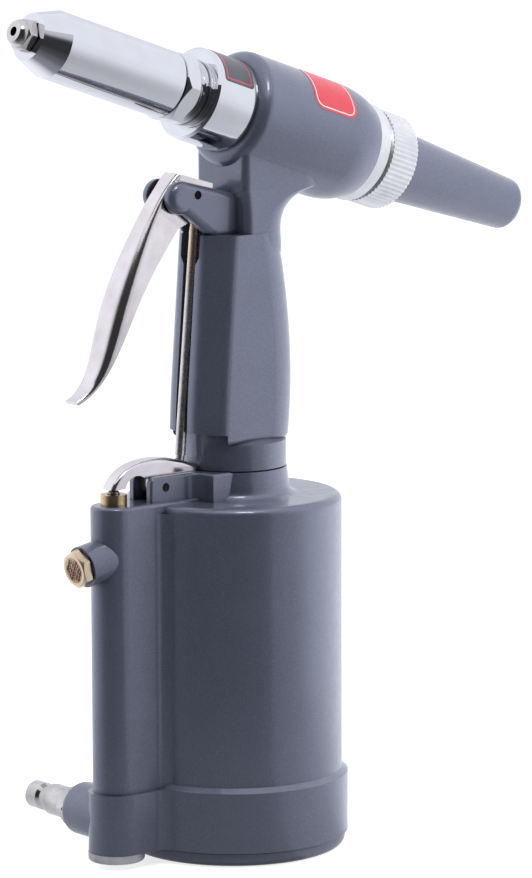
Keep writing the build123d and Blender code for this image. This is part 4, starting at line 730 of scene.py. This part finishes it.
def panel(name, angle, height, width, tall, power, distance, aim_height):
    """A softbox turned to the tool."""
    lamp = bpy.data.lights.new(name, "AREA")
    lamp.shape = "RECTANGLE"
    lamp.size = width
    lamp.size_y = tall
    lamp.energy = power
    made = bpy.data.objects.new(name, lamp)
    bpy.context.scene.collection.objects.link(made)
    made.location = off_camera(angle) * distance + UP * height
    aim = UP * aim_height - made.location
    made.rotation_mode = "QUATERNION"
    made.rotation_quaternion = aim.to_track_quat("-Z", "Y")
    made.visible_glossy = name == MIRRORED_PANEL


def seen_rays(tree):
    """One for camera, glossy and transmission rays, zero for the rays that light the tool."""
    rays = tree.nodes.new("ShaderNodeLightPath")
    total = rays.outputs["Is Camera Ray"]
    for name in ("Is Glossy Ray", "Is Transmission Ray"):
        most = tree.nodes.new("ShaderNodeMath")
        most.operation = "MAXIMUM"
        tree.links.new(total, most.inputs[0])
        tree.links.new(rays.outputs[name], most.inputs[1])
        total = most.outputs["Value"]
    return total


def world():
    """White studio that lights the tool less from the camera's side."""
    made = bpy.data.worlds.new("studio")
    bpy.context.scene.world = made
    made.use_nodes = True
    tree = made.node_tree
    new, link = tree.nodes.new, tree.links.new
    background = tree.nodes["Background"]
    direction = new("ShaderNodeTexCoord").outputs["Generated"]
    facing = new("ShaderNodeVectorMath")
    facing.operation = "DOT_PRODUCT"
    facing.inputs[1].default_value = front
    link(direction, facing.inputs[0])
    sector = new("ShaderNodeMapRange")
    sector.interpolation_type = "SMOOTHSTEP"
    sector.inputs["From Min"].default_value = SECTOR_START
    sector.inputs["From Max"].default_value = SECTOR_END
    sector.inputs["To Min"].default_value = SIDE_LIGHT
    sector.inputs["To Max"].default_value = FRONT_LIGHT
    link(facing.outputs["Value"], sector.inputs["Value"])
    level = new("ShaderNodeMix")
    level.inputs["B"].default_value = 1.0
    link(seen_rays(tree), level.inputs["Factor"])
    link(sector.outputs["Result"], level.inputs["A"])
    link(level.outputs["Result"], background.inputs["Strength"])
    tint = new("ShaderNodeMix")
    tint.data_type = "RGBA"
    tint.inputs[6].default_value = (*STUDIO_TINT, 1)
    tint.inputs[7].default_value = (1, 1, 1, 1)
    link(new("ShaderNodeLightPath").outputs["Is Camera Ray"], tint.inputs["Factor"])
    link(tint.outputs[2], background.inputs["Color"])


def stage_object(name, points, faces, material):
    mesh = bpy.data.meshes.new(name)
    mesh.from_pydata(points, [], faces)
    made = bpy.data.objects.new(name, mesh)
    bpy.context.scene.collection.objects.link(made)
    dress(made, material)
    return made


def floor():
    """A pale table that keeps the tool's shadow and reads as white."""
    half = FLOOR_SIZE / 2
    corners = [(-half, -half, 0), (half, -half, 0), (half, half, 0), (-half, half, 0)]
    shader = Shader("floor", FLOOR_COLOR, MATT)
    glow = shader.spread(seen_rays(shader.tree), 0.0, FLOOR_GLOW, 0, 1)
    shader.value("Emission Color", (1, 1, 1, 1))
    shader.value("Specular IOR Level", 0.0)
    shader.link(glow, shader.bsdf.inputs["Emission Strength"])
    made = stage_object("floor", corners, [(0, 1, 2, 3)], shader.material)


def card_tones(angle):
    """The near, the floor's and the wall's tone at an angle, straight between the listed ones."""
    for first, second in zip(CARD_TONES, CARD_TONES[1:]):
        if angle <= second[0]:
            share = (angle - first[0]) / (second[0] - first[0])
            return [low + (high - low) * share for low, high in zip(first[1:], second[1:])]


def cards():
    """Cards on the floor and round the tool, dark before it, seen by polished surfaces only."""
    count = int(360 / CARD_STEP)
    points, tones, faces = [], [], []
    for k in range(count + 1):
        angle = -180 + CARD_STEP * k
        near_tone, floor_tone, wall_tone = card_tones(angle)
        for radius, height, wall, near in CARD_RINGS:
            tone = floor_tone + (wall_tone - floor_tone) * wall
            points.append(off_camera(angle) * radius + UP * height)
            tones.append(tone + (near_tone - tone) * near)
    width = len(CARD_RINGS)
    for k in range(count):
        for j in range(width - 1):
            corner = k * width + j
            faces.append((corner, corner + 1, corner + width + 1, corner + width))
    shader = Shader("cards", (0, 0, 0), MATT)
    tone = shader.node("ShaderNodeAttribute", attribute_name="tone")
    shader.value("Specular IOR Level", 0.0)
    shader.value("Emission Color", (*STUDIO_TINT, 1))
    shader.link(tone.outputs["Fac"], shader.bsdf.inputs["Emission Strength"])
    made = stage_object("cards", points, faces, shader.material)
    made.data.attributes.new("tone", "FLOAT", "POINT").data.foreach_set("value", tones)
    made.visible_camera = False
    made.visible_diffuse = False
    made.visible_shadow = False
    made.visible_transmission = False


def camera():
    data = bpy.data.cameras.new("camera")
    data.lens = CAMERA_LENS
    data.sensor_width = CAMERA_SENSOR
    made = bpy.data.objects.new("camera", data)
    bpy.context.scene.collection.objects.link(made)
    look = CAMERA_AIM - CAMERA_PLACE
    made.location = CAMERA_PLACE
    made.rotation_mode = "QUATERNION"
    made.rotation_quaternion = look.to_track_quat("-Z", "Y") @ Quaternion((0, 0, 1), -CAMERA_ROLL)
    bpy.context.scene.camera = made


for name, values in PANELS.items():
    panel(name, *values)
world()
floor()
cards()
camera()
bpy.context.scene.view_settings.view_transform = "Standard"
